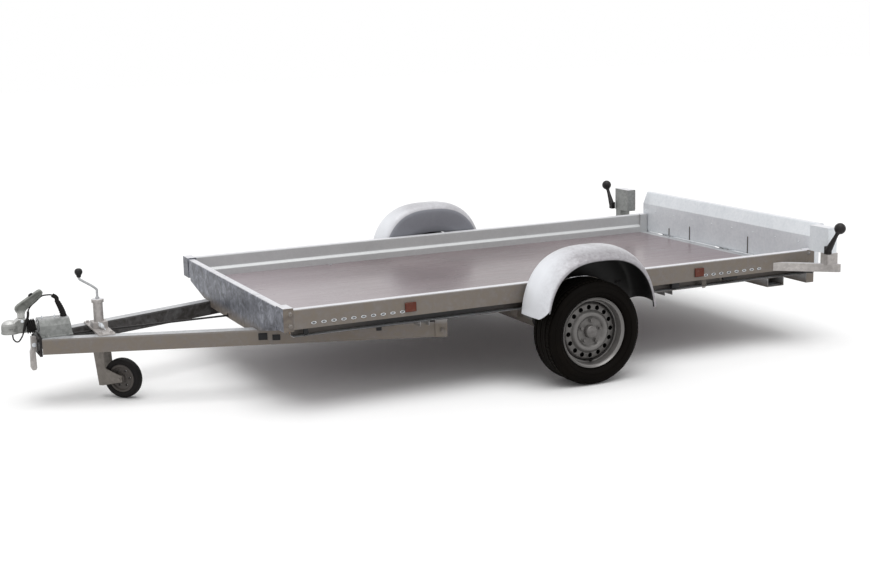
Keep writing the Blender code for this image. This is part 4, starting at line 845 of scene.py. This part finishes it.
def hex_bolt(name, radius, head, washer):
    """Hex bolt head on a washer, standing on Z = 0 and pointing up, with rounded corners."""
    pieces = []
    # Name, corners, radius, thickness, middle's height, then share of the radius and rise of each inset
    for kind, corners, size, depth, middle, steps in (
        (name, 6, radius, head, head / 2 + 0.0015, ((0.16, head * 0.10), (0.30, -head * 0.06))),
        (name + "_washer", 20, washer, 0.0018, 0.0009, ((0.08, 0.0004),)),
    ):
        choose()
        bpy.ops.mesh.primitive_cylinder_add(
            vertices=corners, radius=size, depth=depth, location=(0, 0, middle),
        )
        disc = named(kind)
        pick(disc, "FACE", lambda centre, normal: normal.z > 0.9)
        for share, rise in steps:
            bpy.ops.mesh.inset(thickness=size * share)
            bpy.ops.transform.translate(value=(0, 0, rise))
        bpy.ops.object.mode_set(mode="OBJECT")
        pieces.append(disc)
    return joined(name, pieces)


# Mudguards

def make_mudguards():
    """Pressed sheet guards on their brackets: a flat inner wall, a rounded crown and a rolled lip."""
    wall = RAIL_HIGH.y + 0.013
    # Distance out from the inner wall, height above the arch's middle
    section = (
        (0.0, 0.246), (0.0, 0.366), (0.0015, 0.375), (0.005, 0.3835), (0.011, 0.3935), (0.019, 0.4020),
        (0.030, 0.4090), (0.044, 0.4145), (0.060, 0.4175), (0.080, 0.4188), (0.110, 0.4172), (0.132, 0.4140),
        (0.152, 0.4095), (0.172, 0.4030), (0.190, 0.3960), (0.206, 0.3880), (0.218, 0.3800), (0.226, 0.3735),
        (0.2300, 0.3690), (0.2315, 0.3640), (0.2300, 0.3590), (0.2265, 0.3575), (0.2225, 0.3600),
    )
    start = math.radians(GUARD_START)
    out = Vector((math.cos(start), 0, math.sin(start)))
    hub = Vector((WHEEL.x - 0.024, 0, WHEEL.z + 0.006))
    section = [hub + out * radius + LEFTWARD * (wall + across) for across, radius in section]
    guard = drawn("mudguard_sheet_left", section)
    bpy.ops.mesh.select_all(action="SELECT")
    sweep = math.radians(GUARD_END - GUARD_START)
    bpy.ops.mesh.spin(steps=GUARD_STEPS, angle=sweep, center=hub, axis=LEFTWARD)
    closed_up()
    for point in guard.data.vertices:
        # The press leaves the round sweep slimmer and squarer
        away = point.co - hub
        radius = math.hypot(away.x, away.z)
        across = abs(away.x / radius / GUARD_SLIMNESS) ** GUARD_SQUARENESS
        size = (across + abs(away.z / radius) ** GUARD_SQUARENESS) ** (-1 / GUARD_SQUARENESS)
        point.co.x = hub.x + away.x * size
        point.co.z = hub.z + away.z * size
    applied(guard, "SOLIDIFY", thickness=GUARD_GAUGE, offset=0.0)
    # The outer corner of the front end is rounded
    corner = Vector((hub.x + 0.20, wall + 0.2400 - GUARD_CORNER, WHEEL.z + 0.096 + GUARD_CORNER))
    arc = [math.radians(6 * i - 90) for i in range(16)]
    outline = [corner + GUARD_CORNER * Vector((0, math.cos(turn), math.sin(turn))) for turn in arc]
    beyond, below = GUARD_CORNER + 0.03, -GUARD_CORNER - 0.06
    outline += [corner + Vector((0, y, z)) for y, z in ((beyond, 0), (beyond, below), (0, below))]
    cut(guard, plate("guard_corner_cutter", outline, (0.30, 0, 0)))
    applied(guard, "BEVEL", width=0.0010, segments=2, limit_method="ANGLE", angle_limit=math.radians(50))
    paired(guard, "chassis", "guard", 40, ("mudguard_left",))

    near = RAIL_HIGH.y + GAP
    pieces = []
    for ahead in GUARD_BRACKETS:
        outline = [
            (hub.x + ahead + x, near, GUARD_BRACKET_HEIGHT + z)
            for x, z in framed(-0.020, 0.020, -0.0225, 0.0225)
        ]
        pieces.append(plate("guard_bracket", outline, (0, wall - near - 0.002, 0), 0.002))
    paired(joined("guard_brackets_left", pieces), "chassis", "zinc")
    bolt = hex_bolt("guard_bolt", 0.0055, 0.0045, 0.0085)
    places = [
        facing((hub.x + ahead + x, wall + 0.0016, GUARD_BRACKET_HEIGHT), LEFTWARD, 0.3)
        for ahead in GUARD_BRACKETS for x in (-0.011, 0.011)
    ]
    paired(repeated("guard_bolts_left", bolt, places), "chassis", "black_steel")


# Coupling

def make_head():
    """Cast ball head: dome and neck run into each other, with the socket, its side slot and the pin."""
    dome = (
        (0.0, -0.0260), (0.0415, -0.0260), (0.0440, -0.0240), (0.0440, -0.0160), (0.0424, -0.0130),
        (0.0424, 0.0060), (0.0412, 0.0150), (0.0372, 0.0250), (0.0285, 0.0335), (0.0165, 0.0388),
        (0.0, 0.0405),
    )
    head = turned("coupling_casting", dome, BALL, UP, 48)
    squashed(head, (1, 0.86, 1), BALL)
    rear, low = HEAD_LOW.x, HEAD_LOW.z
    outline = (
        (rear, low), (rear, NECK_TOP), (BALL.x - 0.038, NECK_TOP), (BALL.x - 0.010, BALL.z + 0.026),
        (BALL.x, low),
    )
    neck = plate("coupling_neck", [(x, -0.026, z) for x, z in outline], (0, 0.052, 0), 0.006, 3)
    cut(head, neck, "UNION")
    for sign in (1, -1):
        boss = ((0.0, 0.0), (0.0125, 0.0), (0.0115, 0.0035), (0.0, 0.0035))
        place = (BALL.x - 0.054, sign * 0.0250, NECK_TOP - 0.012)
        cut(head, turned("pin_boss", boss, place, LEFTWARD * sign, 24), "UNION")
    socket = (
        (0.0, 0.0260), (0.0130, 0.0225), (0.0219, 0.0140), (0.0255, 0.0040), (0.0255, -0.0225),
        (0.0285, -0.0262), (0.0285, -0.0400), (0.0, -0.0400),
    )
    cut(head, turned("ball_socket", socket, BALL, UP, 40))
    applied(head, "REMESH", mode="VOXEL", voxel_size=0.0013)
    applied(head, "SMOOTH", factor=0.5, iterations=5)
    slots = []
    for sign in (1, -1):
        x, z = BALL.x + 0.004, BALL.z - 0.0005
        outline = [(x + a, sign * 0.0325, z + b) for a, b in framed(-0.012, 0.012, -0.003, 0.003)]
        slots.append(plate("side_slot", outline, (0, sign * 0.02, 0)))
    cut(head, joined("side_slots", slots))
    fitted(head, "chassis", "cast", 40, ("coupling_head",))

    pin = (
        (0.0, -0.0310), (0.0055, -0.0305), (0.0072, -0.0290), (0.0074, -0.0275), (0.0050, -0.0270),
        (0.0050, 0.0270), (0.0074, 0.0275), (0.0072, 0.0290), (0.0055, 0.0305), (0.0, 0.0310),
    )
    pin = turned("handle_pin", pin, (BALL.x - 0.054, 0, NECK_TOP - 0.012), LEFTWARD, 24)
    fitted(pin, "chassis", "bright_zinc")


def make_handle():
    """Pressed lever with hollowed sides, a round grip end and a thumb catch."""
    outline = (
        (0.070, 0.0003), (0.0700, 0.016), (0.0730, 0.028), (0.0800, 0.0385), (0.092, 0.049), (0.150, 0.0955),
        (0.159, 0.105), (0.1625, 0.116), (0.1590, 0.125), (0.1500, 0.1295), (0.1400, 0.1265), (0.042, 0.0665),
        (0.030, 0.055), (0.0275, 0.043), (0.0310, 0.031), (0.0380, 0.022), (0.0380, 0.0003),
    )
    outline = [(BALL.x - back, -0.016, NECK_TOP + up) for back, up in outline]
    handle = plate("coupling_lever", outline, (0, 0.032, 0), 0.004, 3)

    def on_side(centre, normal):
        return abs(normal.y) > 0.99 and abs(centre.y) > 0.0155

    set_in(handle, on_side, (0.0045, 0.0), (0.0012, -0.0040))
    fitted(handle, "chassis", "dark_cast", 35, ("coupling_handle",))
    catch = ((0.096, 0.1000), (0.116, 0.1120), (0.113, 0.1170), (0.104, 0.1145), (0.094, 0.1065))
    catch = [(BALL.x - back, -0.006, NECK_TOP + up) for back, up in catch]
    catch = plate("thumb_catch", catch, (0, 0.012, 0), 0.0015)
    fitted(catch, "chassis", "black_plastic")


def make_bellows():
    """Rubber gaiter with four soft folds and a collar at each end."""
    start = HEAD_LOW.x - GAP - 0.040
    profile = [(0.0223, 0.0), (0.0290, 0.0)]
    for fold in range(4):
        for share, radius in ((0.16, 0.0295), (0.34, 0.0345), (0.50, 0.0360), (0.66, 0.0345), (0.84, 0.0295)):
            profile.append((radius, 0.010 * (fold + share)))
    profile += [(0.0290, 0.0398), (0.0223, 0.0398)]
    gaiter = turned("draw_gaiter", ringed(profile), (start, 0, BALL.z), AHEAD, 48)
    fitted(gaiter, "chassis", "rubber", 50, ("bellows",))


def tube_along(name, points, radius, finish, replaces=()):
    """Round tube along a smooth curve through the points, made a mesh, and the path that it follows."""
    choose()
    data = bpy.data.curves.new(name, "CURVE")
    data.dimensions = "3D"
    data.bevel_depth = radius
    data.bevel_resolution = 4
    data.resolution_u = 6
    data.use_fill_caps = True
    line = data.splines.new("BEZIER")
    line.bezier_points.add(len(points) - 1)
    for knot, point in zip(line.bezier_points, points):
        knot.co = point
        knot.handle_left_type = knot.handle_right_type = "AUTO"
    piece = bpy.data.objects.new(name, data)
    bpy.context.scene.collection.objects.link(piece)
    bpy.context.view_layer.update()
    path = [line.bezier_points[0].co.copy()]
    for here, there in zip(line.bezier_points, line.bezier_points[1:]):
        path += interpolate_bezier(here.co, here.handle_right, there.handle_left, there.co, 7)[1:]
    choose(piece)
    bpy.ops.object.convert(target="MESH")
    piece = bpy.context.object
    choose(piece)
    bpy.ops.object.mode_set(mode="EDIT")
    closed_up()
    return fitted(piece, "chassis", finish, 50, replaces), path


def make_cable():
    """Tapered boot on the housing, and the cable under the lever, down the neck and into its loop."""
    foot = Vector((BOOT_LOW.x + 0.0155, 0, BOOT_LOW.z))
    height = BOOT_HIGH.z - BOOT_LOW.z
    profile = [(0.0, 0.0), (0.0155, 0.0)]
    # Share of the height, radius of the rib and of the hollow above it
    for share, rib, hollow in (
        (0.10, 0.0155, 0.0138), (0.24, 0.0155, 0.0138), (0.38, 0.0154, 0.0136), (0.52, 0.0152, 0.0134),
        (0.66, 0.0149, 0.0130), (0.80, 0.0144, 0.0125), (0.93, 0.0136, 0.0118),
    ):
        for radius, further in ((rib, -0.02), (rib, 0.02), (hollow, 0.05)):
            profile.append((radius, height * (share + further)))
    profile += [(0.0116, height), (0.0, height)]
    boot = turned("cable_gaiter", profile, foot, UP, 28)
    for point in boot.data.vertices:
        share = (point.co.z - foot.z) / height
        point.co.x += 0.026 * share ** 1.4
    fitted(boot, "chassis", "rubber", 35, ("cable_boot",))
    x = foot.x + 0.026
    low = BOOT_HIGH.z + GAP
    side = (0.026 + 0.86 * 0.044) / 2
    skirt = HEAD_LOW.z - GAP
    ball = BALL.x
    route = [
        (x, 0, low), (x + 0.002, 0, low + 0.014), (x + 0.020, 0, low + 0.029),
        (ball - 0.180, 0, NECK_TOP + 0.099), (ball - 0.159, 0, NECK_TOP + 0.0965),
        (ball - 0.130, 0, NECK_TOP + 0.0745), (ball - 0.098, 0.003, NECK_TOP + 0.048),
        (ball - 0.086, 0.016, NECK_TOP + 0.030), (ball - 0.081, side - 0.002, NECK_TOP + 0.008),
        (ball - 0.069, side, NECK_TOP - 0.023), (ball - 0.058, side, skirt + 0.012),
        (ball - 0.042, side, skirt - 0.022), (ball - 0.025, side, skirt - 0.037),
        (ball - 0.009, side, skirt - 0.026), (ball - 0.0045, side, skirt - 0.011),
        (ball - 0.0045, side, skirt),
    ]
    cable, path = tube_along("brake_cable", route, CABLE_RADIUS, "rubber", ("breakaway_cable",))
    neck_sleeve, _ = tube_along("cable_sleeve", route[7:11], 0.0062, "rubber")
    boot_sleeve, _ = tube_along("boot_sleeve", route[0:3], 0.0105, "rubber")


def make_housing_trim():
    """Bolts, grease nipples and collar on the overrun housing, nose plate and stay."""
    top = HOUSING_HIGH.z
    places = [
        facing((x, sign * (HOUSING_HIGH.y - 0.0065), HOUSING_BASE + 0.0042), UP, 0.2)
        for x in (HOUSING_LOW.x + 0.030, HOUSING_HIGH.x - 0.026) for sign in (1, -1)
    ]
    bolt = facing((WHEEL.x + 2.525, STAY_HIGH.y, 0.300), LEFTWARD)
    bolt = repeated("stay_bolt", hex_bolt("stay_bolt_head", 0.0075, 0.0060, 0.0110), [bolt])
    fitted(bolt, "chassis", "bright_zinc")
    bolts = repeated("flange_bolts", hex_bolt("flange_bolt", 0.0060, 0.0050, 0.0075), places)
    fitted(bolts, "chassis", "grey_zinc")
    places = [
        facing((NOSE_HIGH.x + 0.0002, y, NOSE_LOW.z + z), AHEAD, 0.3)
        for y in (-0.070, 0.070) for z in (0.022, 0.076)
    ]
    bolts = repeated("nose_bolts", hex_bolt("nose_bolt", 0.0075, 0.0060, 0.0095), places)
    fitted(bolts, "chassis", "black_steel")
    nipple = (
        (0.0, 0.0125), (0.0018, 0.0123), (0.0026, 0.0110), (0.0020, 0.0092), (0.0020, 0.0085),
        (0.0040, 0.0080), (0.0040, 0.0030), (0.0052, 0.0028), (0.0052, 0.0),
    )
    nipple = turned("grease_nipple", nipple, (0, 0, 0), UP, 16)
    places = [facing((x, 0, top), UP) for x in (HOUSING_LOW.x + 0.072, HOUSING_HIGH.x - 0.022)]
    fitted(repeated("grease_nipples", nipple, places), "chassis", "bright_zinc")
    collar = ringed((
        (0.0225, 0.0), (0.0300, 0.0), (0.0330, 0.0012), (0.0330, 0.0040), (0.0300, 0.0052), (0.0225, 0.0052),
    ))
    ring = turned("housing_collar", collar, (HOUSING_HIGH.x + 0.0002, 0, BALL.z), AHEAD, 36)
    fitted(ring, "chassis", "zinc")


# Jockey wheel

def make_jockey():
    """Tube with its collar, crank and knob, clamp screw, and the trailing wheel."""
    place = Vector((JOCKEY.x, 0, 0))
    top, low = TUBE_HIGH.z, TUBE_LOW.z
    profile = (
        (0.0205, low), (0.0240, low), (0.0240, low + 0.012), (0.0240, top - 0.0190), (0.0262, top - 0.0180),
        (0.0300, top - 0.0170), (0.0300, top - 0.0030), (0.0285, top - 0.0010), (0.0240, top), (0.0065, top),
        (0.0065, top - 0.0120), (0.0205, top - 0.0120),
    )
    tube = turned("jockey_outer_tube", ringed(profile), place, UP, 48)
    fitted(tube, "chassis", "bare_zinc", 30, ("jockey_tube",))
    bends = (
        (0.0, -0.020), (0.0, 0.0), (0.0, 0.030), (0.0, 0.044), (0.009, 0.055), (0.040, 0.078), (0.070, 0.098),
        (0.080, 0.106), (0.082, 0.114),
    )
    bends = [(JOCKEY.x + x, 0, top + up) for x, up in bends]
    tube_along("jockey_crank_rod", bends, 0.006, "zinc", ("jockey_crank",))
    knob = (
        (0.0, 0.0), (0.0088, 0.0), (0.0100, 0.0015), (0.0112, 0.0060), (0.0122, 0.0110), (0.0160, 0.0160),
        (0.0188, 0.0210), (0.0195, 0.0270), (0.0188, 0.0325), (0.0165, 0.0380), (0.0120, 0.0422),
        (0.0060, 0.0441), (0.0, 0.0445),
    )
    knob = turned("jockey_crank_knob", knob, (JOCKEY.x + 0.082, 0, top + 0.1143), UP, 32)
    fitted(knob, "chassis", "black_plastic", 50, ("jockey_knob",))
    nut = ((0.0, 0.010), (0.0088, 0.0095), (0.0100, 0.0080), (0.0100, 0.0), (0.0, 0.0))
    cap = turned("jockey_nut", nut, (JOCKEY.x, 0, top + 0.0002), UP, 6)
    fitted(cap, "chassis", "zinc")

    clamp_low, clamp_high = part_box("jockey_clamp")
    places = [
        facing((JOCKEY.x + x, sign * 0.150, clamp_low.z + 0.0082), UP, 0.4)
        for sign in (1, -1) for x in (-0.026, 0.026)
    ]
    bolts = repeated("clamp_bolts", hex_bolt("clamp_bolt", 0.0065, 0.0060, 0.0095), places)
    fitted(bolts, "chassis", "bare_zinc")
    spindle = (
        (0.0, 0.0), (0.0110, 0.0), (0.0110, 0.0060), (0.0060, 0.0070), (0.0060, 0.0300), (0.0085, 0.0310),
        (0.0085, 0.0440), (0.0060, 0.0455), (0.0, 0.0455),
    )
    screw = turned("clamp_screw", spindle, (JOCKEY.x, 0.0365, clamp_high.z - 0.014), LEFTWARD, 20)
    bar = (
        (0.0, -0.030), (0.0030, -0.0295), (0.0036, -0.0280), (0.0028, -0.0260), (0.0028, 0.0260),
        (0.0036, 0.0280), (0.0030, 0.0295), (0.0, 0.030),
    )
    bar = turned("clamp_bar", bar, (JOCKEY.x, 0.0742, clamp_high.z - 0.014), Vector((0.6, 0, 0.8)), 14)
    fitted(joined("clamp_tommy_screw", [screw, bar]), "chassis", "bright_zinc", 35)

    # Radius, distance from the middle of the wheel
    rim = (
        (0.0085, 0.0290), (0.0190, 0.0290), (0.0215, 0.0270), (0.0225, 0.0220), (0.0225, 0.0135),
        (0.0270, 0.0095), (0.0500, 0.0085), (0.0560, 0.0110), (0.0600, 0.0200), (0.0640, 0.0215),
        (0.0695, 0.0190),
    )
    wheel = turned("jockey_wheel_rim", ringed(both_ways(rim)), CASTOR, CASTOR_AXIS, 60)
    punched(wheel, 0.0068, spread_round(CASTOR, CASTOR_AXIS, 0.0395, 6, 0.4))
    fitted(wheel, "jockey_wheel", "grey_plastic", 35, ("jockey_rim",))
    tread = (
        (0.0703, 0.0190), (0.0740, 0.0225), (0.0800, 0.0245), (0.0880, 0.0245), (0.0945, 0.0215),
        (0.0980, 0.0150), (0.0990, 0.0110), (0.0985, 0.0100), (0.0992, 0.0090), (0.1000, 0.0040),
    )
    tyre = turned("jockey_wheel_tyre", ringed(both_ways(tread)), CASTOR, CASTOR_AXIS, 72)
    fitted(tyre, "jockey_wheel", "plain_rubber", 50, ("jockey_tyre",))
    nut = hex_bolt("fork_nut", 0.0085, 0.0070, 0.0110)
    places = [facing(CASTOR + CASTOR_AXIS * sign * 0.0353, CASTOR_AXIS * sign) for sign in (1, -1)]
    fitted(repeated("fork_nuts", nut, places), "jockey_fork", "brown_zinc")


# Rear

def make_lamps():
    """Rear lamps: a black body with a red, an amber and a clear ribbed lens."""
    for side, sign in SIDES:
        low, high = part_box("tail_lamp_" + side)
        body = [(high.x, y, z) for y, z in framed(low.y, high.y, low.z, high.z)]
        body = plate("lamp_body_" + side, body, (low.x + 0.012 - high.x, 0, 0), 0.003)
        fitted(body, "chassis", "black_plastic", replaces=("tail_lamp_" + side,))
        width, height = high.y - low.y - 0.008, high.z - low.z - 0.008
        inner = low.y + 0.004 if sign > 0 else high.y - 0.004
        # Share of the width from the inner edge and of the height, start and end, and the finish
        fields = (
            ("stop", 0.0, 0.62, 0.0, 0.60, "red"), ("turn", 0.64, 1.0, 0.0, 1.0, "amber"),
            ("plate", 0.0, 0.30, 0.62, 1.0, "clear"), ("tail", 0.32, 0.62, 0.62, 1.0, "red"),
        )
        for field, left, right, bottom, top, finish in fields:
            y = [inner + sign * width * share for share in (left, right)]
            z = [low.z + 0.004 + height * share for share in (bottom, top)]
            face = [(low.x + 0.0125, a, b) for a, b in framed(*y, *z)]
            lens = plate(field + "_lens_" + side, face, (-0.0118, 0, 0), 0.003, 3)
            set_in(lens, lambda centre, normal: normal.x < -0.99, (0.0030, -0.0010))
            fitted(lens, "chassis", finish)


def make_levers():
    """Latch levers: a bolted block, a thick tapering stem and a ball knob."""
    ball = 0.030
    top = LEVER_FOOT + LEVER_WAY + Vector((0, 0.0215 - ball, 0.0215 - ball))
    way = top - LEVER_FOOT
    profile = [(0.0, 0.0), (0.0165, 0.0), (0.0175, 0.010), (0.0165, 0.022), (0.0110, 0.085), (0.0100, 0.110)]
    profile += [(0.0135, way.length - 0.0285)]
    for step in range(1, 15):
        turn = math.radians(-60 + 150 * step / 15)
        profile.append((ball * math.cos(turn), way.length + ball * math.sin(turn)))
    profile.append((0.0, way.length + ball))
    stem = turned("lever_stem", profile, LEVER_FOOT, way, 28)
    near = LAMP_BOX_HIGH.y + GAP
    outline = [(LEVER_FOOT.x + x, near, LEVER_FOOT.z + z) for x, z in framed(-0.014, 0.014, -0.022, 0.022)]
    block = plate("lever_block", outline, (0, LEVER_FOOT.y + 0.014 - near, 0), 0.004, 3)
    place = facing((LEVER_FOOT.x, LEVER_FOOT.y + 0.0142, LEVER_FOOT.z - 0.013), LEFTWARD)
    bolt = repeated("lever_bolt", hex_bolt("lever_bolt_head", 0.0060, 0.0045, 0.0085), [place])
    lever = joined("latch_lever_arm_left", [stem, block, bolt])
    paired(lever, "chassis", "black_steel", 35, ("latch_lever_left",))


def make_reflectors():
    """Side reflectors: a raised lens in a rounded base."""
    names = [row["node"] for row in frame["record"]["subparts"]]
    for name in [name for name in names if name.startswith("side_reflector")]:
        low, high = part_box(name)
        sign = 1 if low.y > 0 else -1
        near = low.y if sign > 0 else high.y
        outline = [(x, near, z) for x, z in framed(low.x, high.x, low.z, high.z)]
        lens = plate(name + "_lens", outline, (0, sign * 0.0078, 0), 0.003, 3)
        set_in(lens, lambda centre, normal: normal.y * sign > 0.99, (0.0030, -0.0012))
        fitted(lens, "chassis", "dark_red", replaces=(name,))


def make_small_parts():
    """Tabs and clips under the side rails, and the plugs in the outer sides of the drawbars."""
    under = RAIL_HIGH.z - 0.0953
    # Front and rear end ahead of the wheel's axis, inner and outer place across, height
    light = ((-0.800, -0.828, 0.824, 0.829, 0.047), (-0.915, -0.930, 0.824, 0.829, 0.016))
    black = (
        (-0.605, -0.650, 0.812, 0.836, 0.028), (-0.932, -1.026, 0.812, 0.836, 0.017),
        (1.442, 1.419, 0.826, 0.838, 0.030),
    )
    for name, finish, rows in (("rail_tabs", "bare_zinc", light), ("rail_clips", "black_plastic", black)):
        pieces = []
        for front, rear, near, far, height in rows:
            tail, nose = WHEEL.x + rear, WHEEL.x + front
            outline = (
                (tail, 0), (nose, 0), (nose, 0.8 * height), (nose - 0.006, height), (tail + 0.006, height),
                (tail, 0.8 * height),
            )
            outline = [(x, near, under - down) for x, down in outline]
            pieces.append(plate(name, outline, (0, far - near, 0), 0.0012))
        paired(joined(name + "_left", pieces), "chassis", finish)

    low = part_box("outrigger_left")[0].z - GAP
    tail, nose = WHEEL.x - 1.500, WHEEL.x - 1.430
    outline = ((tail, 0), (nose, 0), (nose - 0.008, 0.022), (tail + 0.004, 0.030))
    outline = [(x, 0.846, low - down) for x, down in outline]
    paired(plate("lamp_cable_clip_left", outline, (0, 0.040, 0), 0.003), "chassis", "black_plastic")

    way = Vector((1.0, -BAR_SPREAD, 0.0)).normalized()
    out = Vector((BAR_SPREAD, 1.0, 0.0)).normalized()
    pieces = []
    # Place ahead of the wheel's axis and above the ground, length and height of the plug
    for ahead, height, length, tall in (
        (1.511, 0.306, 0.044, 0.034), (1.450, 0.299, 0.038, 0.028), (0.978, 0.321, 0.026, 0.024),
    ):
        x = WHEEL.x + ahead
        middle = Vector((x, BAR_NOSE_HALF + BAR_SPREAD * (BAR_HIGH.x - x), height)) + out * 0.0002
        outline = [middle + way * a * length / 2 + UP * b * tall / 2 for a, b in framed(-1, 1, -1, 1)]
        pieces.append(plate("bar_plug", outline, out * 0.003, 0.0012))
    paired(joined("bar_plugs_left", pieces), "chassis", "black_plastic")


def make_bed_trim():
    """Slot lips, deck screws, bolts, rivets, small parts, the gate's feet and buffers, and hinge pins."""
    lip = ringed(((0.0092, 0.0), (0.0134, 0.0), (0.0124, 0.0012), (0.0102, 0.0012)))
    lip = turned("slot_lip", lip, (0, 0, 0), UP, 16)
    squashed(lip, (1, 0.50, 1), (0, 0, 0))
    slots = [WHEEL.x + first - SLOT_PITCH * i for first, count in SLOT_ROWS for i in range(count)]
    places = [facing((x, RAIL_HIGH.y + 0.0001, DECK_HIGH.z + 0.044), LEFTWARD) for x in slots]
    paired(repeated("slot_lips_left", lip, places), "chassis", "bright_zinc")

    screw = ((0.0, 0.0006), (0.0030, 0.0004), (0.0048, 0.0008), (0.0056, 0.0006), (0.0062, 0.0001))
    screw = turned("deck_screw", screw, (0, 0, 0), UP, 14)
    rows = (DECK_HIGH.x - 0.035, WHEEL.x + 0.80, WHEEL.x + 0.15, WHEEL.x - 0.62, WHEEL.x - 1.30)
    places = [
        facing((x, DECK_HIGH.y * (-0.94 + 0.235 * i), DECK_HIGH.z), UP) for x in rows for i in range(9)
    ]
    fitted(repeated("deck_screws", screw, places), "chassis", "grey_zinc")

    bolt = hex_bolt("frame_bolt", 0.0075, 0.0055, 0.0110)
    places = []
    for sign in (1, -1):
        way = LEFTWARD * sign
        for x in (WHEEL.x + 1.505, WHEEL.x - 1.506):
            for z in (0.432, 0.490):
                places.append(facing((x, sign * (RAIL_HIGH.y + 0.0002), z), way, 0.4))
        hanger_low, hanger_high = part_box("drawbar_hanger_left")
        for z in (0.300, 0.395):
            middle = (hanger_low.x + hanger_high.x) / 2
            places.append(facing((middle, sign * hanger_high.y, z), way, 0.4))
        pad = WHEEL.x + 0.150
        for x in (-0.058, 0.058):
            places.append(facing((pad + x, sign * 0.640, 0.3625), UP, 0.2))
    fitted(repeated("frame_bolts", bolt, places), "chassis", "zinc")

    rivet = ((0.0, 0.0024), (0.0030, 0.0020), (0.0048, 0.0008), (0.0052, 0.0))
    rivet = turned("rivet", rivet, (0, 0, 0), UP, 14)
    row = (-0.806, -0.700, -0.500, -0.300, -0.100, 0.100, 0.300, 0.500, 0.700, 0.806)
    places = [facing((GATE_HIGH.x + 0.0001, y, GATE_LOW.z + 0.150), AHEAD) for y in row]
    fitted(repeated("gate_rivets", rivet, places), "tailgate", "bright_zinc")

    make_small_parts()

    # Folded foot of the tailgate, between the hinges
    feet = []
    for start, end in ((-0.835, -0.668), (-0.532, -0.068), (0.068, 0.532), (0.668, 0.835)):
        x = GATE_HIGH.x - 0.0012
        outline = [(x, start, z) for z, x in framed(0.3800, 0.3958, x, x - 0.003)]
        feet.append(plate("gate_foot", outline, (0, end - start, 0), 0.0008))
    fitted(joined("gate_feet", feet), "tailgate", "bright_zinc")

    # Buffers at the tailgate's foot
    buffers = []
    for y, top in ((-0.322, 0.485), (0.253, 0.500), (-0.542, 0.445)):
        x = GATE_HIGH.x + 0.0001
        outline = [(x, y + a, z) for a, z in framed(-0.003, 0.003, 0.400, top)]
        buffers.append(plate("gate_buffer", outline, (0.0035, 0, 0), 0.001))
    fitted(joined("gate_buffers", buffers), "tailgate", "grey_plastic")

    pin = (
        (0.0, -0.0650), (0.0050, -0.0650), (0.0060, -0.0635), (0.0060, 0.0615), (0.0105, 0.0617),
        (0.0110, 0.0645), (0.0095, 0.0660), (0.0, 0.0662),
    )
    pin = turned("hinge_pin", pin, (0, 0, 0), UP, 18)
    places = [facing((HINGE.x, y, HINGE.z), LEFTWARD) for y in HINGE_PLACES]
    fitted(repeated("hinge_pins", pin, places), "chassis", "bright_zinc")


# Stage

def make_camera():
    """Camera of the photograph."""
    yaw, pitch = CAMERA_YAW, CAMERA_PITCH
    ahead = Vector((-math.sin(yaw) * math.cos(pitch), -math.cos(yaw) * math.cos(pitch), -math.sin(pitch)))
    level = ahead.cross(UP).normalized()
    above = level.cross(ahead)
    right = level * math.cos(CAMERA_ROLL) + above * math.sin(CAMERA_ROLL)
    top = above * math.cos(CAMERA_ROLL) - level * math.sin(CAMERA_ROLL)
    turn = Matrix((right, top, -ahead)).transposed().to_4x4()
    data = bpy.data.cameras.new("camera")
    data.lens = CAMERA_LENS
    data.sensor_width = 36.0
    camera = bpy.data.objects.new("camera", data)
    camera.matrix_world = Matrix.Translation(CAMERA_PLACE) @ turn
    bpy.context.scene.collection.objects.link(camera)
    bpy.context.scene.camera = camera


def make_floor():
    """White floor: seen as plain white, with the object's shadow on it."""
    choose()
    bpy.ops.mesh.primitive_plane_add(size=FLOOR_SIZE, location=(0, 0, -FLOOR_DROP))
    floor = named("studio_floor")
    material, tree, _ = start_finish("studio_white", 0.0)
    shader = shader_of(material)
    seen = node(tree, "LightPath").outputs["Is Camera Ray"]
    tree.links.new(blended(tree, seen, FLOOR_LIGHT, WHITE), shader.inputs["Base Color"])
    shader.inputs["Roughness"].default_value = 0.9
    shader.inputs["Specular IOR Level"].default_value = 0.0
    floor.data.materials.append(material)


def make_light():
    """High soft sun, a little to the near side and the nose."""
    data = bpy.data.lights.new("key", "SUN")
    data.energy = SUN_STRENGTH
    data.angle = SUN_WIDTH
    lamp = bpy.data.objects.new("key", data)
    lamp.matrix_world = facing((0, 0, 5.0), SUN_WAY)
    bpy.context.scene.collection.objects.link(lamp)


def make_studio():
    """White world, brighter to look at than to be lit by, with the sun and the floor."""
    scene = bpy.context.scene
    world = bpy.data.worlds.new("studio")
    world.use_nodes = True
    tree = world.node_tree
    background = tree.nodes["Background"]
    rays = node(tree, "LightPath")
    seen = worked(tree, "MAXIMUM", rays.outputs["Is Camera Ray"], rays.outputs["Is Glossy Ray"])
    seen = worked(tree, "MAXIMUM", seen, rays.outputs["Is Transmission Ray"])
    strength = scaled(tree, seen, 0.0, 1.0, SKY_LIGHT, SKY_SEEN)
    background.inputs["Color"].default_value = (*WHITE, 1.0)
    tree.links.new(strength, background.inputs["Strength"])
    scene.world = world
    scene.view_settings.view_transform = "Standard"
    make_light()
    make_floor()


make_camera()
dress_nodes()
make_tyres()
make_rims()
make_mudguards()
make_head()
make_handle()
make_bellows()
make_cable()
make_housing_trim()
make_jockey()
make_lamps()
make_levers()
make_reflectors()
make_bed_trim()
make_studio()
